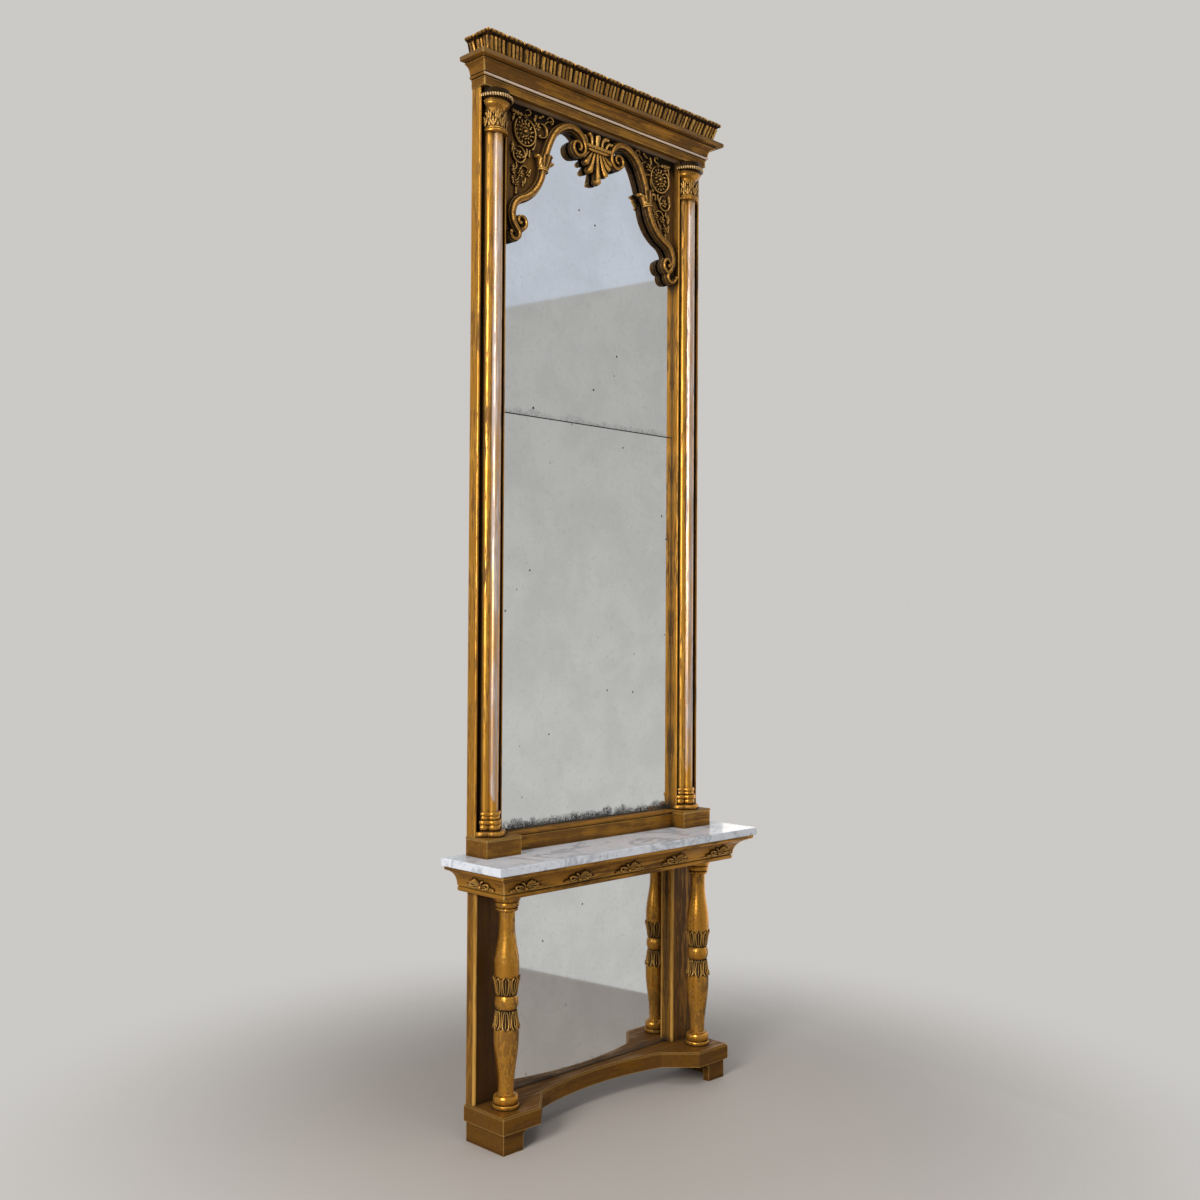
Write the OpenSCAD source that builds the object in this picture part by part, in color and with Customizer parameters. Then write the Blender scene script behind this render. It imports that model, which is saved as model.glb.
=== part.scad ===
// Gilt pier mirror over a marble-topped console.
// Origin: on the floor, at the middle of the marble. +Z is up, and the front faces -Y.
// "Depth" in the comments is measured forward from the back plane of the mirror frame.

/* [Console] */
// Width over the base slab
console_w = 1005; // [960:5:1060]
// Depth of the base slab
console_d = 178; // [165:1:195]
// Height of the feet
foot_h = 62; // [45:1:80]
// Width of a foot at the floor
foot_w = 76; // [60:1:95]
// Radius of the bracket curve at the inner end of a foot
foot_cove = 20; // [10:1:30]
// Thickness of a foot's two boards
foot_board = 25; // [18:1:30]
// How far the feet stand inside the slab's edge
foot_inset = 10; // [4:1:20]
// Thickness of the base slab
slab_t = 49; // [38:1:60]
// Straight length of the slab's front at each end
slab_end = 146; // [130:1:160]
// Run of the slab's slanted corners
slab_corner = 90; // [80:1:95]
// Sweep of the slab's hollow front
slab_sweep = 38; // [25:1:45]
// Rounding of the slab's upper edge
slab_round = 6; // [3:0.5:9]
// Width of an upright
upright_w = 118; // [100:1:124]
// Depth of an upright
upright_d = 38; // [30:1:46]
// How far the uprights stand inside the slab's ends
upright_inset = 7.5; // [4:0.5:12]
// Radius of the beads on the uprights' edges
upright_bead = 5; // [3:0.5:6]

/* [Balusters] */
// Height of the balusters and uprights
baluster_h = 624.5; // [590:0.5:680]
// Distance of a baluster's axis from the slab's end
baluster_inset = 72.5; // [66:0.5:80]
// Depth of a baluster's axis
baluster_depth = 105; // [98:1:112]
// Radius of the end rings
baluster_r = 40; // [36:0.5:44]
// Radius of the vase at its widest
vase_r = 37; // [34:0.5:39]
// Radius of the slender necks
neck_r = 23.5; // [20:0.5:27]
// Height of the middle ring's centre above the slab
knop_z = 308; // [300:1:318]
// Height of the middle ring
knop_h = 41; // [34:1:46]
// Radius of the middle ring
knop_r = 35; // [32:0.5:38]
// Length of the leaf cups and collars
leaf_l = 58; // [50:1:64]
// Radius at the leaf tips
leaf_r = 44; // [42:0.5:47]
// Number of leaves round a baluster
leaf_count = 8; // [6:1:10]

/* [Apron and marble] */
// Height of the apron
apron_h = 81; // [76:1:90]
// How far the apron's foot stands outside the slab's ends
apron_ledge = 9.5; // [6:0.5:14]
// How far the apron's foot stands in front of the slab
apron_front_ledge = 7; // [4:0.5:10]
// Projection of the apron's coved moulding
apron_out = 52; // [46:1:56]
// Radius of the cove
cove_r = 50; // [44:1:52]
// Height of the bead under the cove
apron_bead_h = 15; // [11:0.5:16]
// Thickness of the apron's walls
apron_wall = 20; // [14:1:24]
// Thickness of the board under the apron
soffit_t = 10; // [8:0.5:14]
// Distance between the ornaments on the front cove
ornament_pitch = 217; // [200:1:218]
// Depth of the middle of the side ornaments
side_ornament_depth = 86; // [70:1:105]
// Thickness of the marble
marble_t = 24; // [20:1:30]
// Overhang of the marble at each side
marble_lap = 11; // [5:0.5:16]
// Overhang of the marble at the front
marble_front_lap = 5.5; // [3:0.5:12]
// How far marble and apron reach behind the frame's back plane
wall_gap = 24.5; // [20:0.5:30]

/* [Mirror frame] */
// Width over the stiles
frame_w = 1000; // [960:5:1050]
// Width of a stile
stile_w = 107; // [104:0.5:112]
// Height of the stiles
stile_h = 2230; // [2100:5:2350]
// Height of the plinth blocks
plinth_h = 49.5; // [42:0.5:60]
// Thickness of their cap plates
cap_t = 8; // [5:0.5:10]
// Width of a plinth block
plinth_w = 136; // [128:1:144]
// Depth of the plinth caps
plinth_d = 97.5; // [92:0.5:105]
// How far the caps stand outside the stiles
plinth_ledge = 3.5; // [2:0.5:5]
// How far the caps stand proud of their blocks
cap_lip = 2; // [1:0.5:3]
// Depth of the bottom rail
rail_d = 43.7; // [40:0.1:50]
// Height of the sight moulding above the plinth blocks
sight_h = 10; // [7:0.5:12]
// Depth of the stile's edges
stile_d = 37; // [35:0.5:40]
// Depth of the strip that carries the column
strip_d = 32; // [30:0.5:34]
// Width of that strip
strip_w = 63; // [60:0.5:66]
// Width of the hollow beside the glass
inner_hollow_w = 9.5; // [8:0.5:11]
// Depth left behind the hollow beside the glass
inner_hollow_d = 20; // [16:0.5:24]
// Depth left behind the wide outer hollow
outer_hollow_d = 14; // [12:0.5:18]
// Width of the stile's outer edge
outer_edge_w = 9; // [7:0.5:10]
// Height of the rail behind the head
top_rail_h = 33; // [25:1:45]

/* [Columns] */
// Distance of a column's axis from the stile's outer side
column_inset = 60; // [58:0.5:62]
// Radius of each of the three lobes
lobe_r = 15.2; // [14:0.1:16]
// Distance of the lobes from the column's axis
lobe_out = 16; // [15:0.5:17]
// Height of the ringed base
base_h = 72; // [66:1:80]
// Height of the capital
capital_h = 130; // [124:1:136]
// Radius of the ring under the leaves
astragal_r = 42.5; // [40:0.5:44]
// Radius of the beaded ring at the top
crown_r = 56.7; // [54:0.1:58]
// Number of leaves round a whole capital
capital_leaf_count = 12; // [10:1:14]

/* [Glass] */
// Thickness of the mirror plates
glass_t = 5; // [4:0.5:6]
// Depth of the space behind the plates
glass_back = 5; // [5:0.5:8]
// Thickness of the boards behind the plates
board_t = 4.7; // [3:0.1:4.8]
// How far the plates reach behind the frame
glass_lap = 8.7; // [5:0.1:9.5]
// Height of the joint between the two upper plates above the marble
joint_z = 1332.5; // [1200:0.5:1500]

/* [Arch] */
// Half span at which the arch radii are drawn
arch_span = 393; // [385:1:400]
// Arcs of the arch from the volute outwards: radius and turn
arch_arcs = [[57, -104], [112, -47], [347, -20], [138, 60], [58, -118]];
// Arc of the lower foot scroll
foot_arcs = [[19, 228]];
// Arcs of the upper foot scroll
curl_arcs = [[22, -130], [16, -110], [9, -120]];
// Place of the volute's centre: distance from the middle, and below the head
volute_at = [91, 75];
// Radius of the volute's outermost turn
volute_r = 31; // [28:0.5:32]
// Radius at the volute's eye
eye_r = 9; // [8:0.5:11]
// Turn of the volute in degrees
volute_turn = 420; // [380:5:440]
// Width of the arch moulding
band_w = 27; // [22:0.5:29]
// Thickness of the spandrel panel
panel_t = 5; // [4:0.5:6]
// Relief of the arch moulding over the panel
band_relief = 29; // [24:0.5:32]
// Drop of the panel below the head
panel_drop = 393; // [370:1:410]
// Width of the strip left above the arch
head_strip = 19; // [16:0.5:20]
// Half length of the tie bar
tie_half = 63; // [60:0.5:66]
// Drop of the shell's tip below the head
shell_drop = 186; // [170:1:200]

/* [Cornice] */
// How far the cornice stands outside the stiles
cornice_ledge = 3; // [2:0.5:6]
// Depth of the lowest band
band_d = 60.7; // [56:0.1:66]
// Height of the lowest band
band_h = 24; // [20:0.5:28]
// Height of the astragal
astragal_h = 14; // [10:0.5:16]
// Height of the cavetto
cavetto_h = 32; // [28:0.5:36]
// Height of the corona
corona_h = 15; // [12:0.5:18]
// Projection of the astragal
astragal_out = 10; // [8:0.5:12]
// Projection of the corona
corona_out = 46; // [42:0.5:50]
// Thickness of the cornice walls
cornice_wall = 22; // [18:0.5:26]

/* [Crest] */
// Height of the crest
crest_h = 62; // [56:1:70]
// Distance of the crest's foot outside the cornice's lowest band, at the sides
crest_side = 9; // [6:0.5:12]
// The same at the front
crest_front_out = 30; // [26:0.5:33]
// Flare of the crest from foot to top
crest_flare = 22.5; // [18:0.5:25]
// Thickness of the crest at its foot
crest_t = 15; // [12:0.5:18]
// Height of the roll along the top
roll_h = 12; // [10:0.5:14]
// Length of one group of flutes
group_l = 63; // [56:1:70]
// Flutes in a group
group_count = 4; // [3:1:5]
// Width of the dark slot between the groups
slot_w = 4; // [3:0.5:6]

/* [Fits] */
// Clearance between pieces that seat in each other
gap = 0.3; // [0.2:0.05:0.4]

/* [Hidden] */
$fn = 48;
eps = 0.01;

gilt = [0.66, 0.47, 0.2];
gilt_dark = [0.5, 0.35, 0.15];
bare_wood = [0.5, 0.38, 0.25];
marble = [0.9, 0.9, 0.92];
silvering = [0.72, 0.74, 0.75];

// Heights of the seats, from the floor up
slab_top = foot_h + slab_t;
apron_z = slab_top + baluster_h;
marble_z = apron_z + apron_h;
plinth_z = marble_z + marble_t;
cap_z = plinth_z + plinth_h;
stile_z = cap_z + cap_t;
head_z = stile_z + stile_h;
cornice_h = band_h + astragal_h + cavetto_h + corona_h;
crest_z = head_z + cornice_h;

// Plan of the console
apron_half = console_w/2 + apron_ledge;
apron_depth = console_d + apron_front_ledge;
marble_w = 2*(apron_half + apron_out + marble_lap);
marble_d = apron_depth + apron_out + marble_front_lap + wall_gap;
back_y = marble_d/2 - wall_gap;
slab_front = back_y - console_d;
kink_x = console_w/2 - slab_end - slab_corner;
kink_y = slab_front + slab_corner;
hollow_r = (kink_x*kink_x + slab_sweep*slab_sweep)/(2*slab_sweep);
hollow_y = kink_y + slab_sweep - hollow_r;
baluster_x = console_w/2 - baluster_inset;
upright_x = console_w/2 - upright_inset - upright_w;

// Plan of the mirror frame
sight = frame_w/2 - stile_w;
column_x = frame_w/2 - column_inset;
strip_x = column_x - strip_w/2;
inner_edge_w = strip_x - inner_hollow_w - sight;
glass_front = glass_back + glass_t;
pocket_z = cap_z - 2;
plate_z = pocket_z + gap;
plate_top = head_z - top_rail_h - gap;
panel_front = glass_front + panel_t;
stretch = sight/arch_span;

function polar(r, a) = [r*cos(a), r*sin(a)];
function arc(c, r, a0, a1, n = 8) = [for (i = [0:n]) c + polar(r, a0 + (a1 - a0)*i/n)];
function back_to_front(list) = [for (i = [len(list) - 1:-1:0]) list[i]];
function mirrored(pts) = [for (p = back_to_front(pts)) [-p[0], p[1]]];

// Smooth S from one radius to another, and a bead between two heights, both as [radius, height]
function swell(r0, z0, r1, z1, n = 8) = [for (i = [0:n])
    let (t = i/n) [r0 + (r1 - r0)*(1 - cos(180*t))/2, z0 + (z1 - z0)*t]];
function bead(r0, r1, z0, z1, n = 6) = [for (i = [0:n])
    let (a = 180*i/n) [r0 + (r1 - r0)*sin(a), (z0 + z1)/2 - (z1 - z0)/2*cos(a)]];

// A line made of tangent arcs: from point p, at heading h, each arc has a radius and a turn
function walk(p, h, arcs, i = 0) = i >= len(arcs) ? [] :
    let (r = arcs[i][0], turn = arcs[i][1], s = sign(turn), c = p + polar(r, h + 90*s),
        n = ceil(abs(turn)/(r > 60 ? 9 : 18)),
        pts = [for (k = [1:n]) c + polar(r, h - 90*s + turn*k/n)])
    concat(pts, walk(pts[n - 1], h + turn, arcs, i + 1));

// Outline of a band along a line, with a half width for each point
function headings(pts) = [for (i = [0:len(pts) - 1])
    let (d = pts[min(i + 1, len(pts) - 1)] - pts[max(i - 1, 0)]) d/norm(d)];
function band(pts, halves) = let (d = headings(pts), m = len(pts) - 1)
    concat([for (i = [0:m]) pts[i] + [-d[i][1], d[i][0]]*halves[i]],
        [for (i = [m:-1:0]) pts[i] - [-d[i][1], d[i][0]]*halves[i]]);
function tapering(n, a, b) = [for (i = [0:n - 1]) a + (b - a)*i/(n - 1)];

module left() {
    mirror([1, 0, 0]) children();
}

// Turns a profile of [radius, height] points about Z
module turned(pts) {
    last = len(pts) - 1;
    rotate_extrude() polygon(concat([[0, pts[0][1]]], pts, [[0, pts[last][1]]]));
}

// Raises an outline drawn in width and height between two depths
module raised(from, to) {
    translate([0, back_y - from, 0]) rotate([90, 0, 0]) linear_extrude(to - from) children();
}

// Mouldings from [outward, height] points, along X with the front to -Y, and along Y with the front to +X
module moulding_x(length, pts) {
    rotate([90, 0, 90]) linear_extrude(length, center = true) polygon(mirrored(pts));
}

module moulding_y(length, pts) {
    rotate([90, 0, 0]) linear_extrude(length, center = true) polygon(pts);
}

// Front and side lengths of a moulded box with mitred corners
module mitred_front(half, front, inward, outward, z, h) {
    a = half + outward;
    b = half - inward;
    intersection() {
        translate([0, front, 0]) children();
        translate([0, 0, z]) linear_extrude(h)
            polygon([[-a, front - outward], [a, front - outward], [b, front + inward], [-b, front + inward]]);
    }
}

module mitred_side(half, front, back, inward, outward, z, h) {
    a = half + outward;
    b = half - inward;
    intersection() {
        translate([half, (front + back)/2, 0]) children();
        translate([0, 0, z]) linear_extrude(h)
            polygon([[a, front - outward], [a, back], [b, back], [b, front + inward]]);
    }
}

// Petal from a point at the origin to a round end along +Y, and a disc with round lobes
petal_points = 20;
petal_fullness = 0.77;
lobe_steps = 6;
lobe_depth = 0.28;
function petal_line(l, w) = [for (i = [0:petal_points - 1]) let (a = 360*i/petal_points)
    [w/2/petal_fullness*sin(a)*sin(a/2), l/2*(1 - cos(a))]];
function scalloped_line(r, count) = [for (i = [0:lobe_steps*count - 1]) let (a = 360*i/lobe_steps/count)
    polar(r*(1 - lobe_depth + lobe_depth*abs(sin(count*a/2))), a)];
function leaning(pts, a) = [for (p = pts) [p[0]*cos(a) - p[1]*sin(a), p[0]*sin(a) + p[1]*cos(a)]];

module petal(l, w) {
    polygon(petal_line(l, w));
}

// ---- console ----

// Bracket foot: a front board with a cove at its inner end, and a side board that runs to the back
module foot() {
    outer = console_w/2 - foot_inset;
    reach = outer - foot_w - foot_cove;
    front = slab_front + foot_inset;
    cove_top = foot_h - foot_cove/5;
    color(gilt_dark) difference() {
        translate([reach, front, 0]) cube([outer - reach, back_y - front, foot_h]);
        translate([reach - 1, front + foot_board, -1])
            cube([outer - reach - foot_board + 1, console_d, foot_h + 2]);
        translate([reach - 1, front - 1, -1])
            cube([foot_cove + 1, foot_board + 2, cove_top - foot_cove + 1]);
        translate([reach, front + foot_board + 1, cove_top - foot_cove])
            rotate([90, 0, 0]) cylinder(r = foot_cove, h = foot_board + 2);
    }
}

// Plan of the slab, drawn in by e on its front and sides
module slab_plan(e) {
    half = console_w/2 - e;
    start = console_w/2 - slab_end + e*(sqrt(2) - 1);
    n2 = [kink_x, kink_y - hollow_y]/hollow_r;
    det = (n2[1] - n2[0])/sqrt(2);
    kink = [kink_x, kink_y] + e*[n2[1] - 1/sqrt(2), 1/sqrt(2) - n2[0]]/det;
    right = [kink, [start, slab_front + e], [half, slab_front + e], [half, back_y]];
    difference() {
        polygon(concat(right, mirrored(right)));
        intersection() {
            translate([0, hollow_y]) circle(hollow_r + e, $fn = 180);
            translate([-kink[0], slab_front - 1]) square([2*kink[0], console_d]);
        }
    }
}

module base_slab() {
    color(gilt_dark) union() {
        translate([0, 0, foot_h]) linear_extrude(slab_t - slab_round) slab_plan(0);
        for (i = [1:3])
            translate([0, 0, slab_top - slab_round*cos(30*(i - 1))])
                linear_extrude(slab_round*(cos(30*(i - 1)) - cos(30*i)) + eps*(3 - i))
                    slab_plan(slab_round*(1 - sin(90 - 15*(2*i - 1))));
    }
}

// Section of an upright, as [across, depth] from its inner edge
module upright_section() {
    r = upright_bead;
    pts = concat([[glass_lap + gap, 0], [upright_w, 0]],
        arc([upright_w - r, upright_d - r], r, 0, 150),
        [[upright_w - 2*r - 1, upright_d - r/2 - 0.5], [2*r + 1, upright_d - r/2 - 0.5]],
        arc([r, upright_d - r], r, 30, 180),
        [[0, glass_front + gap], [glass_lap + gap, glass_front + gap]]);
    polygon([for (p = pts) [upright_x + p[0], back_y - p[1]]]);
}

module upright() {
    color(gilt_dark) translate([0, 0, slab_top]) linear_extrude(baluster_h) upright_section();
}

module console_plate(from, to) {
    half = upright_x + glass_lap;
    translate([-half, back_y - to, slab_top + gap]) cube([2*half, to - from, baluster_h - 2*gap]);
}

module console_mirror() {
    color(silvering) console_plate(glass_back, glass_front);
}

module console_back_board() {
    color(bare_wood) console_plate(0, board_t);
}

// Heights of a baluster's parts above the slab
base_ring_h = 12.6;
base_torus_h = 25.4;
top_disc_h = 20.5;
top_ring_h = 19;
neck_ring_h = 11;
knop_low = knop_z - knop_h/2;
knop_top = knop_z + knop_h/2;
core_r = knop_r - 8;
leaf_wall = 3;
leaf_root = 4.5;
leaf_notch_r = 7;
leaf_steps = 6;

module at_baluster() {
    translate([baluster_x, back_y - baluster_depth, slab_top]) children();
}

module baluster() {
    torus_top = base_ring_h + base_torus_h;
    disc = baluster_h - top_disc_h;
    ring = disc - top_ring_h;
    collar = ring - neck_ring_h;
    color(gilt) at_baluster() turned(concat(
        bead(baluster_r - 2, baluster_r, 0, base_ring_h),
        bead(baluster_r - 8, baluster_r - 2, base_ring_h, torus_top),
        [[neck_r + 3, torus_top], [neck_r + 3, torus_top + 3]],
        swell(neck_r, torus_top + 5, neck_r, torus_top + 20, 1),
        swell(neck_r, torus_top + 20.5, vase_r, knop_low - leaf_l - 21),
        swell(vase_r, knop_low - leaf_l - 6, core_r, knop_low - 3, 6),
        bead(core_r, knop_r, knop_low, knop_top, 8),
        swell(core_r, knop_top + 3, vase_r, knop_top + leaf_l + 4, 6),
        swell(vase_r, knop_top + leaf_l + 26, neck_r, collar - 43),
        [[neck_r, collar]],
        bead(neck_r + 2, knop_r - 2, collar, ring),
        bead(knop_r - 6, knop_r + 1, ring, disc),
        bead(baluster_r - 3, baluster_r, disc, baluster_h)));
}

// Carved leaf shell round the core, from its narrow end at z = 0 up to its open tips
module leaf_shell() {
    root = core_r + leaf_root;
    inner = [for (p = swell(core_r, 0, vase_r, leaf_l, leaf_steps)) p + [gap + 0.5, 0]];
    outer = [for (i = [0:leaf_steps]) let (t = i/leaf_steps)
        [root + (leaf_r - root)*pow(t, 1.4), leaf_l*t - (i == leaf_steps ? leaf_wall : 0)]];
    color(gilt) difference() {
        rotate_extrude() polygon(concat(inner, back_to_front(outer)));
        for (k = [0:leaf_count - 1])
            rotate([0, 0, 360*(k + 0.5)/leaf_count])
                translate([core_r + leaf_wall, 0, leaf_l]) rotate([0, 90, 0])
                    cylinder(r = leaf_notch_r, h = leaf_r);
    }
}

module leaf_cup() {
    at_baluster() translate([0, 0, knop_top + gap]) leaf_shell();
}

module leaf_collar() {
    at_baluster() translate([0, 0, knop_low - gap]) mirror([0, 0, 1]) leaf_shell();
}

// ---- apron and marble ----

// Height of the cove's axis above the apron's foot
cove_z = apron_bead_h + 2;
cove_end = 105;
quirk_z = cove_z + cove_r*sin(cove_end) + 2.7;

function apron_profile() = concat(
    [[-apron_wall, 0], [-5, 0]],
    bead(-4, 1, 0, apron_bead_h),
    [[-4, cove_z]],
    arc([apron_out, cove_z], cove_r, 180, cove_end, 10),
    [[apron_out + cove_r*cos(cove_end), quirk_z]],
    arc([apron_out - 6, quirk_z + 6], 6, 270, 360, 4),
    [[apron_out, apron_h], [-apron_wall, apron_h]]);

module apron_front() {
    color(gilt) mitred_front(apron_half, back_y - apron_depth, apron_wall, apron_out, apron_z, apron_h)
        translate([0, 0, apron_z]) moulding_x(2*(apron_half + apron_out), apron_profile());
}

module apron_side() {
    front = back_y - apron_depth;
    color(gilt) mitred_side(apron_half, front, marble_d/2, apron_wall, apron_out, apron_z, apron_h)
        translate([0, 0, apron_z]) moulding_y(2*marble_d, apron_profile());
}

module apron_soffit() {
    half = apron_half - apron_wall;
    color(bare_wood) translate([-half, back_y - apron_depth + apron_wall, apron_z])
        cube([2*half, apron_depth - apron_wall + wall_gap - apron_wall, soffit_t]);
}

module apron_back() {
    half = apron_half - apron_wall;
    color(bare_wood) translate([-half, marble_d/2 - apron_wall, apron_z])
        cube([2*half, apron_wall, apron_h]);
}

ornament_w = 132;
ornament_h = 44;
ornament_relief = 6;
ornament_foot = 3;
// Petals of the apron's palmettes, as lean, length and width, and the scrolls beside them
fan_petals = [[-64, 26, 11], [-33, 34, 11], [0, 34, 11], [33, 34, 11], [64, 26, 11]];
fan_scroll_at = [33, 8];
fan_scroll_r = 13;
fan_eye_at = [2, 1];
fan_eye_r = 5;
fan_tip_at = [40, 6];
fan_tip_lean = 80;
fan_bar = [64, 8];

// Outline of a palmette between two scrolls, round the middle of its foot
module palmette_outline() {
    for (p = fan_petals)
        rotate(p[0]) petal(p[1], p[2]);
    for (s = [0, 1])
        mirror([s, 0]) {
            translate(fan_scroll_at) difference() {
                circle(fan_scroll_r);
                translate(fan_eye_at) circle(fan_eye_r);
            }
            translate(fan_tip_at) rotate(-fan_tip_lean) petal(fan_petals[0][1], fan_petals[0][2]);
        }
    translate([-fan_bar[0]/2, -fan_bar[1]/4]) square(fan_bar);
}

// Relief in the cove, round the cove's own axis along X
module cove_relief() {
    intersection() {
        rotate([90, 0, 0]) linear_extrude(cove_r + 1)
            translate([0, fan_eye_r]) palmette_outline();
        rotate([0, 90, 0]) difference() {
            cylinder(r = cove_r - gap, h = ornament_w, center = true);
            cylinder(r = cove_r - ornament_relief, h = ornament_w + 1, center = true);
        }
        translate([-ornament_w/2, -cove_r, ornament_foot]) cube([ornament_w, cove_r, ornament_h]);
    }
}

// The cove bends away from its axis towards the back, so the relief is turned to face it
module front_relief(x) {
    translate([x, back_y - apron_depth - apron_out, apron_z + cove_z])
        rotate([0, 0, 180]) cove_relief();
}

module apron_ornaments() {
    color(gilt) union()
        for (i = [-2:2])
            front_relief(i*ornament_pitch);
}

module apron_ornament_side() {
    color(gilt) translate([apron_half + apron_out, back_y - side_ornament_depth, apron_z + cove_z])
        rotate([0, 0, -90]) cove_relief();
}

module marble_top() {
    arris = 1.5;
    color(marble) union() {
        translate([-marble_w/2, -marble_d/2, marble_z + arris])
            cube([marble_w, marble_d, marble_t - 2*arris]);
        translate([arris - marble_w/2, arris - marble_d/2, marble_z])
            cube([marble_w - 2*arris, marble_d - 2*arris, marble_t]);
    }
}

// ---- mirror frame ----

// Space for the plates and their board, behind the frame
module glass_pocket() {
    half = sight + glass_lap + gap;
    translate([-half, back_y - glass_front - gap, pocket_z])
        cube([2*half, glass_front + gap + 1, head_z - pocket_z + 1]);
}

plinth_outer = frame_w/2 + plinth_ledge;
plinth_inner = plinth_outer - plinth_w;

module plinth() {
    color(gilt) difference() {
        translate([plinth_inner, back_y - plinth_d + cap_lip, plinth_z])
            cube([plinth_w - cap_lip, plinth_d - cap_lip, plinth_h]);
        glass_pocket();
    }
}

module plinth_cap() {
    round = cap_t/4;
    color(gilt) difference() {
        union() {
            translate([plinth_inner, back_y - plinth_d, cap_z + round])
                cube([plinth_w, plinth_d, cap_t - 2*round]);
            translate([plinth_inner, back_y - plinth_d + round, cap_z])
                cube([plinth_w - round, plinth_d - round, cap_t]);
        }
        glass_pocket();
    }
}

module bottom_rail() {
    top = plinth_h + sight_h;
    quirk = plinth_h - 3;
    profile = concat(
        [[0, 0], [rail_d, 0], [rail_d, quirk - 2], [rail_d - 5, quirk - 1], [rail_d - 5, quirk + 1]],
        arc([rail_d - 10, top - 8], 8, -30, 90, 5),
        [[0, top]]);
    color(gilt) difference() {
        translate([0, back_y, plinth_z]) moulding_x(2*plinth_inner, profile);
        glass_pocket();
    }
}

// Section of a stile: edge bead, hollow, column strip, wide hollow and outer bead
module stile_section() {
    inner_r = inner_edge_w/2;
    outer_r = outer_edge_w/2;
    strip_in = strip_x - sight;
    strip_out = strip_in + strip_w;
    hollow_out = stile_w - outer_edge_w;
    pts = concat([[glass_lap + gap, 0], [stile_w, 0]],
        arc([stile_w - outer_r, stile_d - outer_r], outer_r, 0, 180),
        [[hollow_out, outer_hollow_d], [strip_out, outer_hollow_d], [strip_out, strip_d],
            [strip_in, strip_d], [strip_in, inner_hollow_d], [inner_edge_w, inner_hollow_d]],
        arc([inner_r, stile_d - inner_r], inner_r, 0, 180),
        [[0, glass_front + gap], [glass_lap + gap, glass_front + gap]]);
    polygon([for (p = pts) [sight + p[0], back_y - p[1]]]);
}

module stile() {
    color(gilt) translate([0, 0, stile_z]) linear_extrude(stile_h) stile_section();
}

module top_rail() {
    half = sight + glass_lap;
    color(bare_wood) translate([-half, back_y - glass_front, head_z - top_rail_h])
        cube([2*half, glass_front, top_rail_h]);
}

module plate(from, to, low, high) {
    half = sight + glass_lap;
    translate([-half, back_y - to, low]) cube([2*half, to - from, high - low]);
}

module lower_mirror_plate() {
    color(silvering) plate(glass_back, glass_front, plate_z, plinth_z + joint_z - gap/2);
}

module upper_mirror_plate() {
    color(silvering) plate(glass_back, glass_front, plinth_z + joint_z + gap/2, plate_top);
}

module back_board() {
    color(bare_wood) plate(0, board_t, plate_z, plate_top);
}

// ---- columns ----

// Space in front of the stile: down to the strip between the hollows, and clear of the edges
module before_stile(low, high) {
    far = crown_r + lobe_r;
    translate([column_x - far, back_y - strip_d - 2*far, low])
        cube([2*far, 2*far - (stile_d - strip_d) - gap, high - low]);
    translate([strip_x + gap, back_y - strip_d - 2*far, low])
        cube([strip_w - 2*gap, 2*far, high - low]);
}

module at_column(z) {
    translate([column_x, back_y - strip_d, z]) children();
}

// Three lobes round the axis, each made by the child
module three_lobes(out) {
    for (p = [[-out, 0], [0, -out], [out, 0]])
        translate([p[0], p[1], 0]) children();
}

module column_shaft() {
    shaft_h = stile_h - base_h - capital_h;
    color(gilt) intersection() {
        at_column(stile_z + base_h) union() {
            three_lobes(lobe_out) cylinder(r = lobe_r, h = shaft_h);
            translate([-lobe_out, -lobe_out, 0]) cube([2*lobe_out, lobe_out, shaft_h]);
        }
        before_stile(stile_z, head_z);
    }
}

// Rings of the column's base: foot, height, spread of the lobes and radius
base_rings = [[0, 15, 25, 31], [18, 18, 21, 20], [36, 12, 20, 24], [49, 12, 18, 19], [61, 11, 18, 21]];

module column_base() {
    color(gilt) intersection() {
        at_column(stile_z) union() {
            for (ring = base_rings)
                translate([0, 0, ring[0]]) three_lobes(ring[2])
                    turned(bead(ring[3] - ring[1]/4, ring[3], 0, ring[1]));
            three_lobes(lobe_out) cylinder(r = lobe_r, h = base_h);
            translate([-lobe_out, -lobe_out, 0]) cube([2*lobe_out, lobe_out, base_h]);
        }
        before_stile(stile_z, head_z);
    }
}

bell_r = 32;
leaf_low = 17;
leaf_high = 67;

module capital() {
    color(gilt) intersection() {
        at_column(head_z - capital_h) turned(concat(
            bead(astragal_r - 5, astragal_r, 0, 10),
            bead(astragal_r - 7, astragal_r - 4, 10, 16, 4),
            [[bell_r, leaf_low], [bell_r, leaf_high + 2]],
            swell(bell_r, leaf_high + 4, crown_r - 12, capital_h - 43, 6),
            bead(crown_r - 12, crown_r - 9, capital_h - 42, capital_h - 37, 4),
            [[crown_r - 13, capital_h - 36], [crown_r - 13, capital_h - 31]],
            bead(crown_r - 6, crown_r, capital_h - 30, capital_h - 17),
            [[crown_r - 11, capital_h - 16], [crown_r - 11, capital_h]]));
        before_stile(stile_z, head_z);
    }
}

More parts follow.
